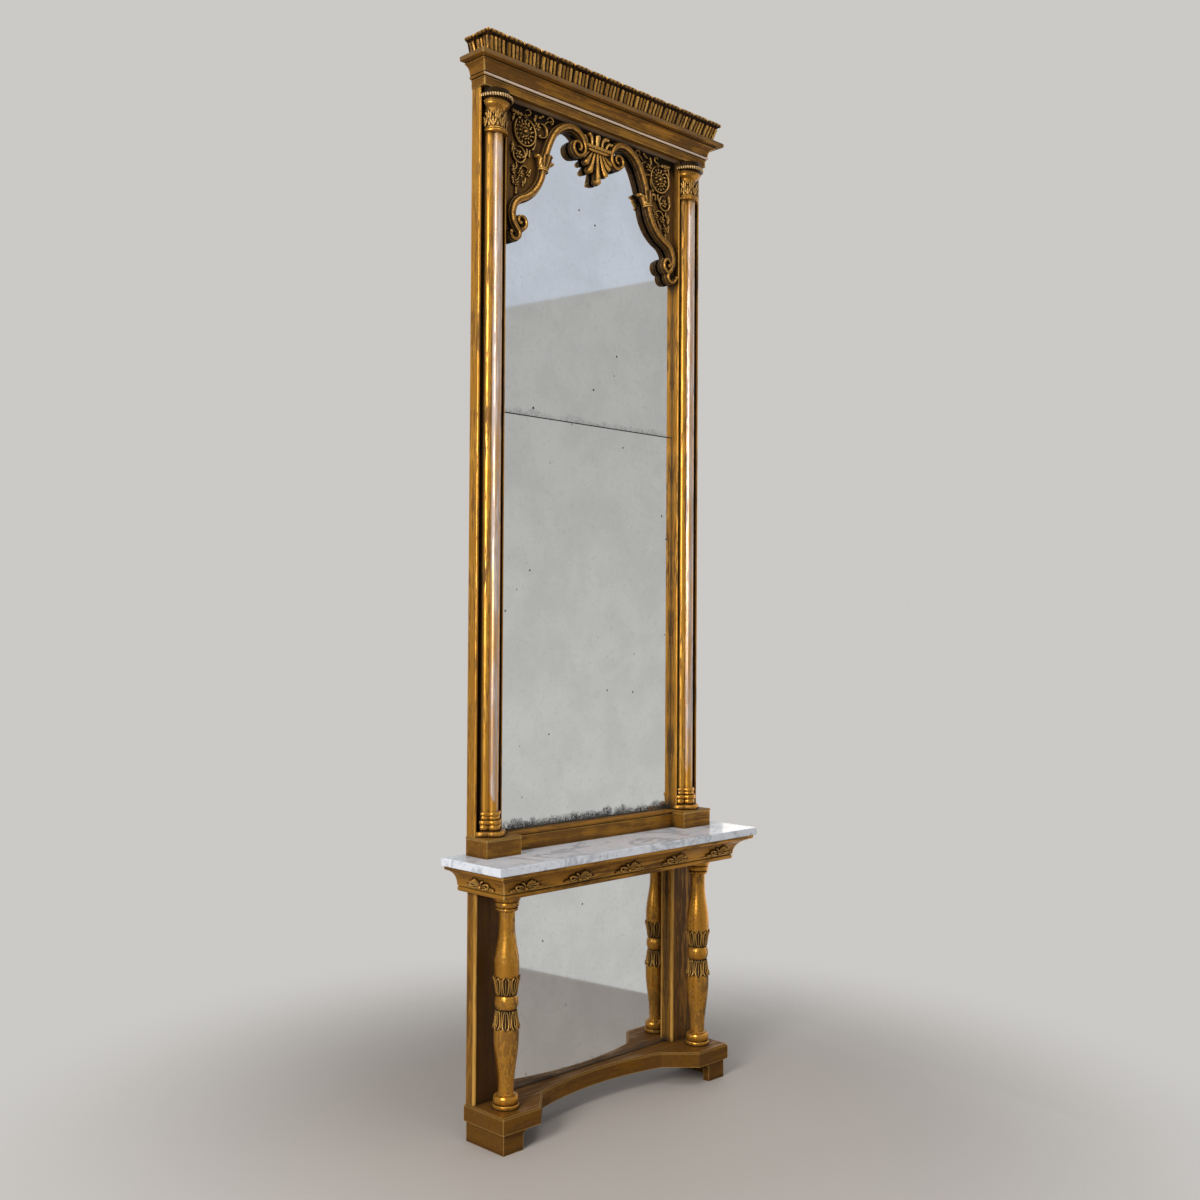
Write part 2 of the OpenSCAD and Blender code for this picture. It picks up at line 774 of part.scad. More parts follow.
module capital_leaves() {
    foot_r = bell_r + gap;
    lift = leaf_high - leaf_low;
    profile = concat([[foot_r, 0], [foot_r + 3, 0]],
        swell(foot_r + 5, 3, foot_r + 8, lift - 12, 4),
        [[foot_r + 12, lift - 3], [foot_r + 11, lift], [foot_r, lift]]);
    color(gilt) intersection() {
        at_column(head_z - capital_h + leaf_low) difference() {
            rotate_extrude() polygon(profile);
            for (k = [0:capital_leaf_count - 1])
                rotate([0, 0, 360*(k + 0.5)/capital_leaf_count])
                    translate([foot_r + 4, 0, lift]) rotate([0, 90, 0]) cylinder(r = 5, h = 20);
        }
        before_stile(stile_z, head_z);
    }
}

// ---- arch ----

// Half widths of the moulding: in the volute, where it leaves it, at its end and in the scrolls
volute_halves = [4.5, 7];
band_start = 0.55;
band_grow = 0.12;
band_end = 0.72;
band_fade = 0.07;
scroll_halves = [0.34*band_w, 5];
curl_halves = [7.5, 4.5];
curl_root = [-8, -1];
curl_relief = 3;
heart_r = 6;
volute_steps = 24;

// Points of the head are drawn at arch_span, as distance from the middle and height above the floor
volute_c = [volute_at[0], head_z - volute_at[1]];
volute_line = [for (i = [0:volute_steps]) let (t = i/volute_steps)
    volute_c + polar(eye_r + (volute_r - eye_r)*t, 180 + volute_turn*(1 - t))];
arch_line = walk(volute_c - [volute_r, 0], 90, arch_arcs);
arch_last = len(arch_line) - 1;
foot_line = walk(arch_line[arch_last], 90 + sum_turns(arch_arcs), foot_arcs);
curl_start = arch_line[arch_last] + curl_root;
curl_line = concat([curl_start], walk(curl_start, 180, curl_arcs));

function sum_turns(arcs, i = 0) = i >= len(arcs) ? 0 : arcs[i][1] + sum_turns(arcs, i + 1);

arch_halves = [for (i = [0:arch_last])
    band_w/2*min(1, band_start + band_grow*i, band_end + band_fade*(arch_last - i))];
main_line = concat(volute_line, arch_line, foot_line);
main_halves = concat(tapering(len(volute_line), volute_halves[0], volute_halves[1]), arch_halves,
    tapering(len(foot_line), scroll_halves[0], scroll_halves[1]));

// Brings a line or an outline of the head to the span of this frame
function to_span(pts) = [for (p = pts) [p[0]*stretch, p[1]]];
function placed(pts, at) = to_span([for (p = pts) p + [at[0], head_z - at[1]]]);

// The band's roll is built up in steps: share of the relief and draw-in
roll_steps = [[0.42, 0], [0.68, 2.2], [0.88, 4.6], [1, 7.4]];
least_half = 1;

module rolled_band(pts, halves, relief) {
    draw_in = halves[0] < band_w/3 ? 0.5 : 1;
    for (s = roll_steps)
        raised(panel_front, panel_front + s[0]*relief)
            polygon(band(to_span(pts), [for (h = halves) max(h - s[1]*draw_in, least_half)]));
}

// Room round the arch moulding between two distances from the middle, out of its neighbours
module band_room(s, near, far, pts, clear) {
    line = [for (p = pts) if (p[0] > near && p[0] < far) [s*p[0]*stretch, p[1]]];
    raised(panel_front - 1, panel_front + band_relief + 2)
        polygon(band(line, [for (p = line) band_w/2 + clear]));
}

tie_drop = 52;
tie_h = 20;
tie_face = 7;
tie_rod_r = 5.5;
tie_rail_r = 4;
tie_top = head_z - tie_drop;
tie_low = tie_top - tie_h;
tie_back = panel_front + band_relief/2;
tie_reach = 10;

module tie_space() {
    half = tie_half + gap;
    translate([-half, back_y - panel_front - band_relief - tie_reach, tie_low - gap])
        cube([2*half, band_relief/2 + tie_reach + gap, tie_h + 2*gap]);
}

module tie_bar() {
    face = tie_back + tie_face;
    color(gilt) union() {
        raised(tie_back, face) translate([-tie_half, tie_low]) square([2*tie_half, tie_h]);
        for (rod = [[tie_top - tie_rod_r, tie_rod_r], [tie_low + tie_rail_r, tie_rail_r]])
            translate([0, back_y - face, rod[0]]) rotate([0, 90, 0])
                cylinder(r = rod[1], h = 2*tie_half, center = true);
    }
}

// Leaf cuff: place as distance from the middle and drop, height, lean, and its radii from the foot up
cuff_at = [240, 192];
cuff_h = 48;
cuff_lean = 12;
cuff_ring_r = 18;
cuff_ring_h = 6;
cuff_waist_r = 14;
cuff_body_r = 19;
cuff_mouth_r = 25;
cuff_lip_h = 8;
cuff_notch_r = 5;
cuff_notches = [-60, -20, 20, 60];
cuff_depth = panel_front + band_relief/2;
cuff_reach = 100;

module at_cuff() {
    translate([cuff_at[0]*stretch, back_y - cuff_depth, head_z - cuff_at[1]])
        rotate([0, -cuff_lean, 0]) children();
}

module before_cuff(e) {
    translate([0, back_y - cuff_depth + e - cuff_reach, head_z - cuff_at[1] - cuff_reach])
        cube([sight, cuff_reach, 2*cuff_reach + cuff_h]);
}

module leaf_cuff() {
    color(gilt) intersection() {
        difference() {
            at_cuff() turned(concat(
                bead(cuff_ring_r - 3, cuff_ring_r, 0, cuff_ring_h, 4),
                swell(cuff_waist_r, cuff_ring_h + 1, cuff_body_r, 0.6*cuff_h, 4),
                [[cuff_mouth_r - 2, cuff_h - cuff_lip_h], [cuff_mouth_r, cuff_h - cuff_lip_h/2],
                    [cuff_mouth_r - 1, cuff_h]]));
            for (a = cuff_notches)
                at_cuff() rotate([0, 0, a - 90]) translate([cuff_ring_r - 1, 0, cuff_h])
                    rotate([0, 90, 0]) cylinder(r = cuff_notch_r, h = cuff_mouth_r);
        }
        before_cuff(0);
    }
}

module arch_moulding() {
    color(gilt) difference() {
        union() {
            rolled_band(main_line, main_halves, band_relief);
            rolled_band(curl_line, tapering(len(curl_line), curl_halves[0], curl_halves[1]),
                band_relief + curl_relief);
            raised(panel_front, panel_front + band_relief)
                translate([volute_line[0][0]*stretch, volute_line[0][1]]) circle(heart_r);
        }
        tie_space();
        intersection() {
            at_cuff() translate([0, 0, -gap])
                cylinder(r1 = cuff_ring_r + 1, r2 = cuff_mouth_r + 1, h = cuff_h + 2*gap);
            before_cuff(gap);
        }
    }
}

// Distance from the middle at which the arch is highest
apex_x = 112;
panel_below = 20;

module spandrel_panel() {
    side = to_span([for (p = arch_line) if (p[0] > apex_x) [p[0], min(p[1], head_z - head_strip)]]);
    low = [side[len(side) - 1][0], head_z - panel_drop - panel_below];
    opening = concat(side, [low], mirrored(concat(side, [low])));
    color(gilt_dark) raised(glass_front, panel_front) difference() {
        translate([gap - sight, head_z - panel_drop]) square([2*(sight - gap), panel_drop]);
        polygon(opening);
    }
}

// Petals of the palmette and ribs on them: distance from the middle, lift, lean, length and width
palmette_petals = [[0, 0, 0, 51, 22], [14, 0, 22, 47, 15], [30, 2, 34, 34, 12]];
palmette_ribs = [[0, 0, 0, 46, 10], [14, 0, 22, 42, 7]];
palmette_root = [88, 16];
palmette_lift = 10;
fan_drop = 8;
petal_relief = 8;
rib_relief = 14;

// Lobes of the shell and ribs on them: lean, length and width
shell_tip = tie_low + 2 - (head_z - shell_drop);
shell_lobes = [[0, shell_tip, 34], [30, 78, 24], [51, 70, 18]];
shell_ribs = [[0, shell_tip - 6, 18], [30, 70, 12], [51, 62, 9]];
shell_root = [76, 16];
shell_root_drop = 6;
shell_relief = 4;
shell_rib_relief = 12;

module fan(petals, relief) {
    raised(panel_front, tie_back + relief)
        for (p = petals, s = p[0] == 0 ? [1] : [-1, 1])
            translate([s*p[0], tie_top - fan_drop + p[1]]) rotate(-s*p[2]) petal(p[3], p[4]);
}

module palmette() {
    color(gilt) difference() {
        union() {
            raised(panel_front, tie_back - gap)
                translate([-palmette_root[0]/2, tie_low + palmette_lift]) square(palmette_root);
            fan(palmette_petals, petal_relief);
            fan(palmette_ribs, rib_relief);
        }
        tie_space();
        for (s = [-1, 1])
            band_room(s, 0, apex_x + band_w/2, concat([for (i = [3:-1:1]) volute_line[volute_steps - i]],
                arch_line), gap);
    }
}

module shell_fan(lobes, relief) {
    raised(panel_front, tie_back + relief) translate([0, tie_low + 2])
        for (p = lobes, s = p[0] == 0 ? [1] : [-1, 1])
            rotate(180 + s*p[0]) petal(p[1], p[2]);
}

module shell_pendant() {
    color(gilt) difference() {
        union() {
            raised(panel_front, tie_back - gap) translate([-shell_root[0]/2, tie_low - shell_root_drop])
                square([shell_root[0], shell_root[1] - gap]);
            shell_fan(shell_lobes, shell_relief);
            shell_fan(shell_ribs, shell_rib_relief);
        }
        tie_space();
        for (s = [-1, 1])
            raised(panel_front - 1, panel_front + band_relief + 2)
                translate([s*volute_c[0]*stretch, volute_c[1]])
                    circle(volute_r + volute_halves[1] + 0.5 + gap);
    }
}

// Flowers of a spandrel: distance from the middle and drop, radius, petals and relief
spray_flowers = [[[308, 81], 29, 10, 15], [[249, 50], 12, 6, 11], [[328, 150], 15, 6, 11],
    [[326, 211], 12, 6, 11], [[342, 245], 10, 5, 9]];
// Stems: centre, radius, first and last angle, width and relief
spray_stems = [[[308, 81], 50, 55, -150, 13, 9], [[300, 178], 36, 100, -40, 10, 8]];
// Leaves: place of the root, lean, length, width and relief
spray_leaves = [[[262, 40], -70, 34, 14, 10], [[270, 60], 35, 30, 12, 9], [[286, 28], -60, 40, 14, 8],
    [[352, 112], 160, 46, 16, 9], [[306, 150], 130, 34, 14, 9], [[350, 176], -140, 44, 14, 9],
    [[332, 190], 200, 48, 12, 8], [[345, 262], 190, 34, 12, 8]];
// Rows of a flower: share of its radius and share of its relief
flower_rows = [[1, 0.6], [0.6, 0.8]];
flower_heart = 0.25;
stem_steps = 14;

module on_panel(relief, pts) {
    raised(panel_front, panel_front + relief) polygon(pts);
}

module spandrel_ornament() {
    color(gilt) difference() {
        union() {
            for (f = spray_flowers) {
                for (row = flower_rows)
                    on_panel(row[1]*f[3], placed(scalloped_line(row[0]*f[1], f[2]), f[0]));
                on_panel(f[3], placed(scalloped_line(flower_heart*f[1], f[2]), f[0]));
            }
            for (t = spray_stems)
                on_panel(t[5], placed(band(arc([0, 0], t[1], t[2], t[3], stem_steps),
                    tapering(stem_steps + 1, t[4]/2, t[4]/4)), t[0]));
            for (l = spray_leaves)
                on_panel(l[4], placed(leaning(petal_line(l[2], l[3]), l[1]), l[0]));
        }
        band_room(1, apex_x + band_w/2, frame_w, arch_line, gap + 0.5);
    }
}

// ---- cornice and crest ----

cornice_half = frame_w/2 + cornice_ledge;
cornice_front_y = back_y - band_d;

function cornice_profile() = let (cave = band_h + astragal_h, low = astragal_out - 4) concat(
    [[-cornice_wall, 0], [0, 0], [0, band_h]],
    bead(2, astragal_out, band_h + 1, cave - 1),
    [[low, cave]],
    arc([corona_out - 4, cave], corona_out - 4 - low, 180, 132, 4),
    arc([corona_out - 4, cave + cavetto_h - 34], 34, 122, 90, 3),
    [[corona_out - 4, cornice_h - corona_h + 1], [corona_out - 1, cornice_h - corona_h + 1],
        [corona_out, cornice_h - corona_h + 3], [corona_out, cornice_h - 3],
        [corona_out - 2, cornice_h], [-cornice_wall, cornice_h]]);

module cornice_soffit() {
    half = cornice_half - cornice_wall;
    color(bare_wood) translate([-half, cornice_front_y + cornice_wall, head_z])
        cube([2*half, band_d - cornice_wall, soffit_t]);
}

module cornice_front() {
    color(gilt) mitred_front(cornice_half, cornice_front_y, cornice_wall, corona_out, head_z, cornice_h)
        translate([0, 0, head_z]) moulding_x(2*(cornice_half + corona_out), cornice_profile());
}

module cornice_side() {
    color(gilt) mitred_side(cornice_half, cornice_front_y, back_y, cornice_wall, corona_out, head_z, cornice_h)
        translate([0, 0, head_z]) moulding_y(4*band_d, cornice_profile());
}

module dust_board() {
    half = cornice_half - cornice_wall;
    color(bare_wood) translate([-half, cornice_front_y + cornice_wall, crest_z - soffit_t])
        cube([2*half, band_d - cornice_wall, soffit_t]);
}

crest_half = cornice_half + crest_side;
crest_front_y = cornice_front_y - crest_front_out;
crest_neck = 5;
board_set = 3;
flute_top = crest_h - roll_h - crest_neck;
flute_lean = crest_flare - roll_h/2;
flute_relief = 3.2;
flute_sink = 1;
flute_back = 5;
bead_half = 6;
break_w = 3;

// Leaning board with a cove under the roll
function crest_profile() = concat(
    [[-crest_t, 0], [-board_set, 0], [flute_lean*flute_top/crest_h - board_set, flute_top]],
    [[flute_lean - board_set, flute_top + crest_neck]],
    arc([crest_flare - roll_h/2, crest_h - roll_h/2], roll_h/2, -130, 90, 8),
    [[crest_flare - crest_t, crest_h]]);

// Plan of the flutes over one run, with a dark slot after each group
function flute_points(length) = let (groups = floor(length/group_l), pitch = length/groups,
    flute_w = (pitch - slot_w)/group_count)
    [for (g = [0:groups - 1], k = [0:group_count - 1], i = [0:4])
        let (x = g*pitch + slot_w/2 + flute_w*(k + i/4)) [x - length/2, flute_relief*sin(45*i) - flute_sink]];

module flutes(length) {
    pts = flute_points(length);
    lean = atan(flute_lean/crest_h);
    rotate([lean, 0, 0]) translate([0, 0, -flute_back]) linear_extrude(flute_top + 2*flute_back)
        polygon(concat([[-length/2, flute_back], [-length/2, flute_sink]], [for (p = pts) [p[0], -p[1]]],
            [[length/2, flute_sink], [length/2, flute_back]]));
}

module roll_breaks(length) {
    groups = floor(length/group_l);
    pitch = length/groups;
    for (g = [1:groups - 1], s = [-1, 1])
        translate([g*pitch - length/2 + s*bead_half, -crest_flare, crest_h - roll_h/2 + 1])
            cube([break_w, roll_h, roll_h + 4], center = true);
}

module crest_run(length) {
    difference() {
        union() {
            moulding_x(length, crest_profile());
            intersection() {
                flutes(length);
                translate([-length/2, -2*crest_flare, 0]) cube([length, 3*crest_flare, flute_top]);
            }
        }
        roll_breaks(length);
    }
}

module crest_front() {
    color(gilt) mitred_front(crest_half, crest_front_y, crest_t, crest_flare, crest_z, crest_h)
        translate([0, 0, crest_z]) crest_run(2*(crest_half + crest_flare));
}

module crest_side() {
    length = 2*(back_y - crest_front_y + crest_flare);
    color(gilt) mitred_side(crest_half, crest_front_y, back_y, crest_t, crest_flare, crest_z, crest_h)
        translate([0, 0, crest_z]) rotate([0, 0, 90]) crest_run(length);
}

left() foot();  // foot_left
foot();  // foot_right
base_slab();
left() upright();  // upright_left
upright();  // upright_right
console_mirror();
console_back_board();
left() baluster();  // baluster_left
baluster();  // baluster_right
left() leaf_cup();  // leaf_cup_left
leaf_cup();  // leaf_cup_right
left() leaf_collar();  // leaf_collar_left
leaf_collar();  // leaf_collar_right
apron_soffit();
apron_front();
left() apron_side();  // apron_left
apron_side();  // apron_right
apron_back();
apron_ornaments();
left() apron_ornament_side();  // apron_ornament_left
apron_ornament_side();  // apron_ornament_right
marble_top();
left() plinth();  // plinth_left
plinth();  // plinth_right
left() plinth_cap();  // plinth_cap_left
plinth_cap();  // plinth_cap_right
bottom_rail();
left() stile();  // stile_left
stile();  // stile_right
top_rail();
left() column_base();  // column_base_left
column_base();  // column_base_right
left() column_shaft();  // column_shaft_left
column_shaft();  // column_shaft_right
left() capital();  // capital_left
capital();  // capital_right
left() capital_leaves();  // capital_leaves_left
capital_leaves();  // capital_leaves_right
lower_mirror_plate();
upper_mirror_plate();
back_board();
spandrel_panel();
left() arch_moulding();  // arch_moulding_left
arch_moulding();  // arch_moulding_right
left() leaf_cuff();  // leaf_cuff_left
leaf_cuff();  // leaf_cuff_right
tie_bar();
palmette();
shell_pendant();
left() spandrel_ornament();  // spandrel_ornament_left
spandrel_ornament();  // spandrel_ornament_right
cornice_soffit();
cornice_front();
left() cornice_side();  // cornice_left
cornice_side();  // cornice_right
crest_front();
left() crest_side();  // crest_left
crest_side();  // crest_right
dust_board();
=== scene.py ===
import math
import bmesh
import bpy
from mathutils import Matrix, Vector


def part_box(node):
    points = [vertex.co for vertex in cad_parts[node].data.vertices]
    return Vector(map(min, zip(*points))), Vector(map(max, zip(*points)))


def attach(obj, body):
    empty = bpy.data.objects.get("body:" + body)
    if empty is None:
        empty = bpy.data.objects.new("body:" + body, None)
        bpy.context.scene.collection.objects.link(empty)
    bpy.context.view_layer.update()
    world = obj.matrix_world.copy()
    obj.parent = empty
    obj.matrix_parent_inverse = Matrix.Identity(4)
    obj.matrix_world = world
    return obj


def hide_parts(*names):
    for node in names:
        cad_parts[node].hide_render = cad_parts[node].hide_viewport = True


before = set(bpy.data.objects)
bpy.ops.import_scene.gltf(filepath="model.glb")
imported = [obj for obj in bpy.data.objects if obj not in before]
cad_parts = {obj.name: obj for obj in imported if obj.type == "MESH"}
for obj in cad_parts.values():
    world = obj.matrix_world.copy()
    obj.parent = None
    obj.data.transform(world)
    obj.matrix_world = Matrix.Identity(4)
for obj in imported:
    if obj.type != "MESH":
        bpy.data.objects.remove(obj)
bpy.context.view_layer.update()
print("frame loaded:", len(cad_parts), "nodes")


class Value:
    # a socket that takes part in Python arithmetic by adding Math nodes
    def __init__(self, graph, socket):
        self.graph = graph
        self.socket = socket

    def __add__(self, other):
        return self.graph.math("ADD", self, other)

    def __radd__(self, other):
        return self.graph.math("ADD", other, self)

    def __sub__(self, other):
        return self.graph.math("SUBTRACT", self, other)

    def __rsub__(self, other):
        return self.graph.math("SUBTRACT", other, self)

    def __mul__(self, other):
        return self.graph.math("MULTIPLY", self, other)

    def __rmul__(self, other):
        return self.graph.math("MULTIPLY", other, self)

    def __abs__(self):
        return self.graph.math("ABSOLUTE", self)


def withAlpha(colour):
    return colour if isinstance(colour, Value) else (*colour, 1.0)


def joined(first, second):
    # two masks as one
    return first + (1 - first) * second


class Graph:
    # one procedural material
    def __init__(self, name):
        self.material = bpy.data.materials.new(name)
        self.material.use_nodes = True
        self.tree = self.material.node_tree
        self.shader = self.tree.nodes["Principled BSDF"]

    def node(self, kind, settings=None, inputs=None, output=0):
        made = self.tree.nodes.new(kind)
        for key, value in (settings or {}).items():
            setattr(made, key, value)
        for key, value in (inputs or {}).items():
            self.feed(made.inputs[key], value)
        return Value(self, made.outputs[output])

    def feed(self, socket, value):
        if isinstance(value, Value):
            self.tree.links.new(value.socket, socket)
        else:
            socket.default_value = value

    def math(self, operation, *values):
        return self.node("ShaderNodeMath", {"operation": operation}, dict(enumerate(values)))

    def place(self, scale=(1, 1, 1), turn=(0, 0, 0)):
        where = self.node("ShaderNodeTexCoord", output="Object")
        return self.node("ShaderNodeMapping", None, {"Vector": where, "Scale": scale, "Rotation": turn})

    def axis(self, letter):
        where = self.node("ShaderNodeTexCoord", output="Object")
        return self.node("ShaderNodeSeparateXYZ", None, {0: where}, letter)

    def noise(self, where, scale, detail=3.0, roughness=0.55, distortion=0.0):
        return self.node("ShaderNodeTexNoise", None, {
            "Vector": where, "Scale": scale, "Detail": detail,
            "Roughness": roughness, "Distortion": distortion})

    def step(self, value, low, high, start=0.0, end=1.0):
        return self.node("ShaderNodeMapRange", {"interpolation_type": "SMOOTHSTEP"}, {
            "Value": value, "From Min": low, "From Max": high, "To Min": start, "To Max": end})

    def facing(self, direction, low, high):
        # 1 where a face looks in the direction
        normal = self.node("ShaderNodeNewGeometry", output="Normal")
        share = self.node("ShaderNodeVectorMath", {"operation": "DOT_PRODUCT"}, {0: normal, 1: direction},
                          "Value")
        return self.step(share, low, high)

    def between(self, letter, low, high, soft):
        # 1 between two places along an axis
        place = self.axis(letter)
        return self.step(place, low - soft, low) * self.step(place, high, high + soft, 1.0, 0.0)

    def hollows(self, reach, samples, **settings):
        settings["samples"] = samples
        return self.node("ShaderNodeAmbientOcclusion", settings, {"Distance": reach}, "AO")

    def mix(self, share, first, second):
        return self.node("ShaderNodeMix", {"data_type": "RGBA"},
                         {0: share, 6: withAlpha(first), 7: withAlpha(second)}, 2)

    def bump(self, height, strength, distance):
        return self.node("ShaderNodeBump", None, {
            "Height": height, "Strength": strength, "Distance": distance})

    def finish(self, **sockets):
        names = {"colour": "Base Color", "metal": "Metallic", "rough": "Roughness", "normal": "Normal",
                 "coat": "Coat Weight", "coatRough": "Coat Roughness", "specular": "Specular IOR Level",
                 "alpha": "Alpha", "glow": "Emission Color", "glowStrength": "Emission Strength"}
        for key, value in sockets.items():
            if key in ("colour", "glow"):
                value = withAlpha(value)
            self.feed(self.shader.inputs[names[key]], value)
        return self.material


# the gilding of all pieces, with lengths in metres; each finish changes some of these values
gildLook = {
    "golds": ((0.43, 0.196, 0.026), (0.64, 0.315, 0.050)),    # dull and bright leaf
    "paleGold": (0.92, 0.58, 0.18),     # edges rubbed bright, and painted highlights on edges and crests
    "brown": (0.080, 0.032, 0.008),     # clay and wood that show where the leaf is rubbed
    "glazeAndShade": (0.010, 0.005, 0.002),     # old glaze in the hollows, and painted shade there
    "bare": ((0.15, 0.085, 0.042), (0.30, 0.19, 0.105)),      # wood of the back
    "bareFrom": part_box("stile_right")[1].y - 0.001,           # faces to the back are bare from this depth on
    "grain": {"x": (0.07, 1, 1), "y": (1, 0.07, 1), "z": (1, 1, 0.07), "soft": (1, 1, 0.35),
              "none": (1, 1, 1)},
    "streaks": 62, "hairs": 230, "patches": 8, "fine": 420,   # noise scales
    "spread": (0.45, 0.35, 0.20),       # shares of streaks, hairs and patches in the rubbed places
    "rubbed": 0.55,                     # how much of the leaf is rubbed
    "wear": 0.85,                       # how much of the brown shows in a rubbed place
    "blur": 0.04,                       # half the width of its ragged edge, in the noise's own units
    "edge": 0.55,                       # how bright the edges are
    "edgeReach": 0.0035,
    "glazeAndShadeShare": 0.95,                      # how much of the glaze and painted shade shows
    "reach": 0.030,                     # how far from a hollow the glaze and painted shade go
    "carved": None,                     # the glaze and painted shade also follow the relief, between these two depths
    "crest": 0.0,                       # how bright the painted highlight on the crests of the relief is
    "metal": 0.55,
    "rough": 0.30,
    "gloss": 0.14,
    "tooth": (0.2, 0.0007),             # strength and depth of the bumps
}


def gilding(name, along="none", extra=None, **changes):
    look = {**gildLook, **changes}
    g = Graph(name)
    where = g.place()
    grain = g.place(look["grain"][along])
    streaks = g.noise(grain, look["streaks"], 5, 0.65, 0.25)
    hairs = g.noise(grain, look["hairs"], 4, 0.65)
    patches = g.noise(where, look["patches"], 4, 0.6)
    fine = g.noise(where, look["fine"], 3, 0.6)
    tone = g.mix(g.step(patches * 0.5 + streaks * 0.5, 0.44, 0.60), *look["golds"])
    level = 0.59 - 0.13 * look["rubbed"]
    first, second, third = look["spread"]
    worn = g.step(streaks * first + hairs * second + patches * third,
                  level - look["blur"], level + look["blur"])
    tone = g.mix(worn * look["wear"], tone, look["brown"])
    # edges rubbed bright, with a painted highlight: pale leaf where the inward occlusion finds an edge
    inner = g.hollows(look["edgeReach"], 6, inside=True, only_local=True)
    edge = g.step(inner + fine * 0.3, 0.55, 1.0, 1.0, 0.0)
    tone = g.mix(edge * look["edge"], tone, look["paleGold"])
    worn = worn * (1 - edge)
    if extra:
        tone = extra(g, tone, streaks, fine)
    # old glaze and painted shade darken the hollows that the occlusion finds
    hollow = g.hollows(look["reach"], 8)
    dark = g.step(hollow + fine * 0.14 - 0.07, 0.28, 0.86, look["glazeAndShadeShare"], 0.0)
    if look["carved"]:
        relief = g.node("ShaderNodeAttribute", {"attribute_name": "relief"}, None, "Fac")
        # a painted highlight on the crests of the relief
        tone = g.mix(g.step(relief + fine * 0.3, 0.92, 1.2) * look["crest"], tone, look["paleGold"])
        # old glaze and painted shade in the depths of the relief
        dark = joined(dark, g.step(relief + fine * 0.16 - 0.08, *look["carved"], 0.93, 0.0))
    tone = g.mix(dark, tone, look["glazeAndShade"])
    back = g.between("Y", look["bareFrom"], 1.0, 0.0006) * g.facing((0, 1, 0), 0.7, 0.9)
    tone = g.mix(back, tone, g.mix(g.step(streaks, 0.38, 0.62), *look["bare"]))
    metal = g.step(worn + dark + back, 0.2, 1.0, look["metal"], 0.1)
    rough = look["rough"] + 0.2 * worn + 0.2 * dark + 0.12 * fine
    height = streaks * 0.35 + hairs * 0.3 + fine * 0.3
    return g.finish(colour=tone, metal=metal, rough=rough, specular=look["gloss"],
                    normal=g.bump(height, *look["tooth"]))


mirrorLook = {
    "silver": (0.80, 0.805, 0.80), "cloud": (0.73, 0.735, 0.73), "dull": (0.58, 0.58, 0.56),
    "foxed": (0.012, 0.011, 0.009),
    "clouds": 5.5, "mottle": 75, "specks": 18, "rare": 6, "worms": 135, "ragged": 22,    # noise scales
    "rise": 0.042, "cover": 0.125,        # foxing over the lower edge: how high, and how much at the foot
    "side": 0.012, "sideCover": 0.045,    # the same beside the frame
    "joint": 0.0022,                      # width of the dark hairlines
}


def agedMirror(name, node, foot, frameSide, fox=1.0):
    # old silvering: clouds, specks, worm-like foxing along the lower edge, dark hairlines at the edges
    look = mirrorLook
    low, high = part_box(node)
    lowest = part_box(foot)[1].z if foot else low.z
    g = Graph(name)
    where = g.place()
    clouds = g.noise(where, look["clouds"], 5, 0.6, 0.3)
    mottle = g.noise(where, look["mottle"], 4, 0.7)
    specks = g.node("ShaderNodeTexVoronoi", None, {"Vector": where, "Scale": look["specks"]})
    rare = g.noise(where, look["rare"], 2, 0.5)
    spot = g.step(specks + 0.16 * mottle, 0.125, 0.17, 1.0, 0.0) * g.step(rare, 0.50, 0.58)
    worm = abs(g.noise(where, look["worms"], 3, 0.6, 2.6) - 0.5)
    ragged = 0.5 - g.noise(where, look["ragged"], 4, 0.65)
    z = g.axis("Z")
    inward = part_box(frameSide)[0].x - abs(g.axis("X"))
    cover = g.step(z - lowest + 0.06 * ragged, 0.0, look["rise"], look["cover"] * fox, -0.03)
    sideCover = g.step(inward + 0.03 * ragged, 0.0, look["side"], look["sideCover"] * fox, -0.03)
    foxed = g.step(worm - g.math("MAXIMUM", cover, sideCover), -0.006, 0.006, 1.0, 0.0)
    border = g.math("MINIMUM", g.math("MINIMUM", high.z - z, z - low.z), inward)
    hairline = g.step(border, look["joint"] * 0.6, look["joint"], 1.0, 0.0)
    worn = joined(joined(spot, foxed), hairline)
    tone = g.mix(g.step(clouds, 0.35, 0.65), look["cloud"], look["silver"])
    tone = g.mix(g.step(mottle, 0.5, 0.75, 0.0, 0.4), tone, look["dull"])
    tone = g.mix(worn * 0.97, tone, look["foxed"])
    rough = 0.03 + 0.025 * mottle + 0.4 * worn
    return g.finish(colour=tone, metal=1.0 - 0.9 * worn, rough=rough, specular=0.1)


marbleLook = {"pale": (0.77, 0.80, 0.85), "grey": (0.58, 0.62, 0.68), "vein": (0.25, 0.28, 0.33),
              "thinVein": (0.20, 0.22, 0.26), "turn": (0.3, 0.2, 0.6),
              "clouds": 2.1, "veins": 3.2, "thinVeins": 8.5}


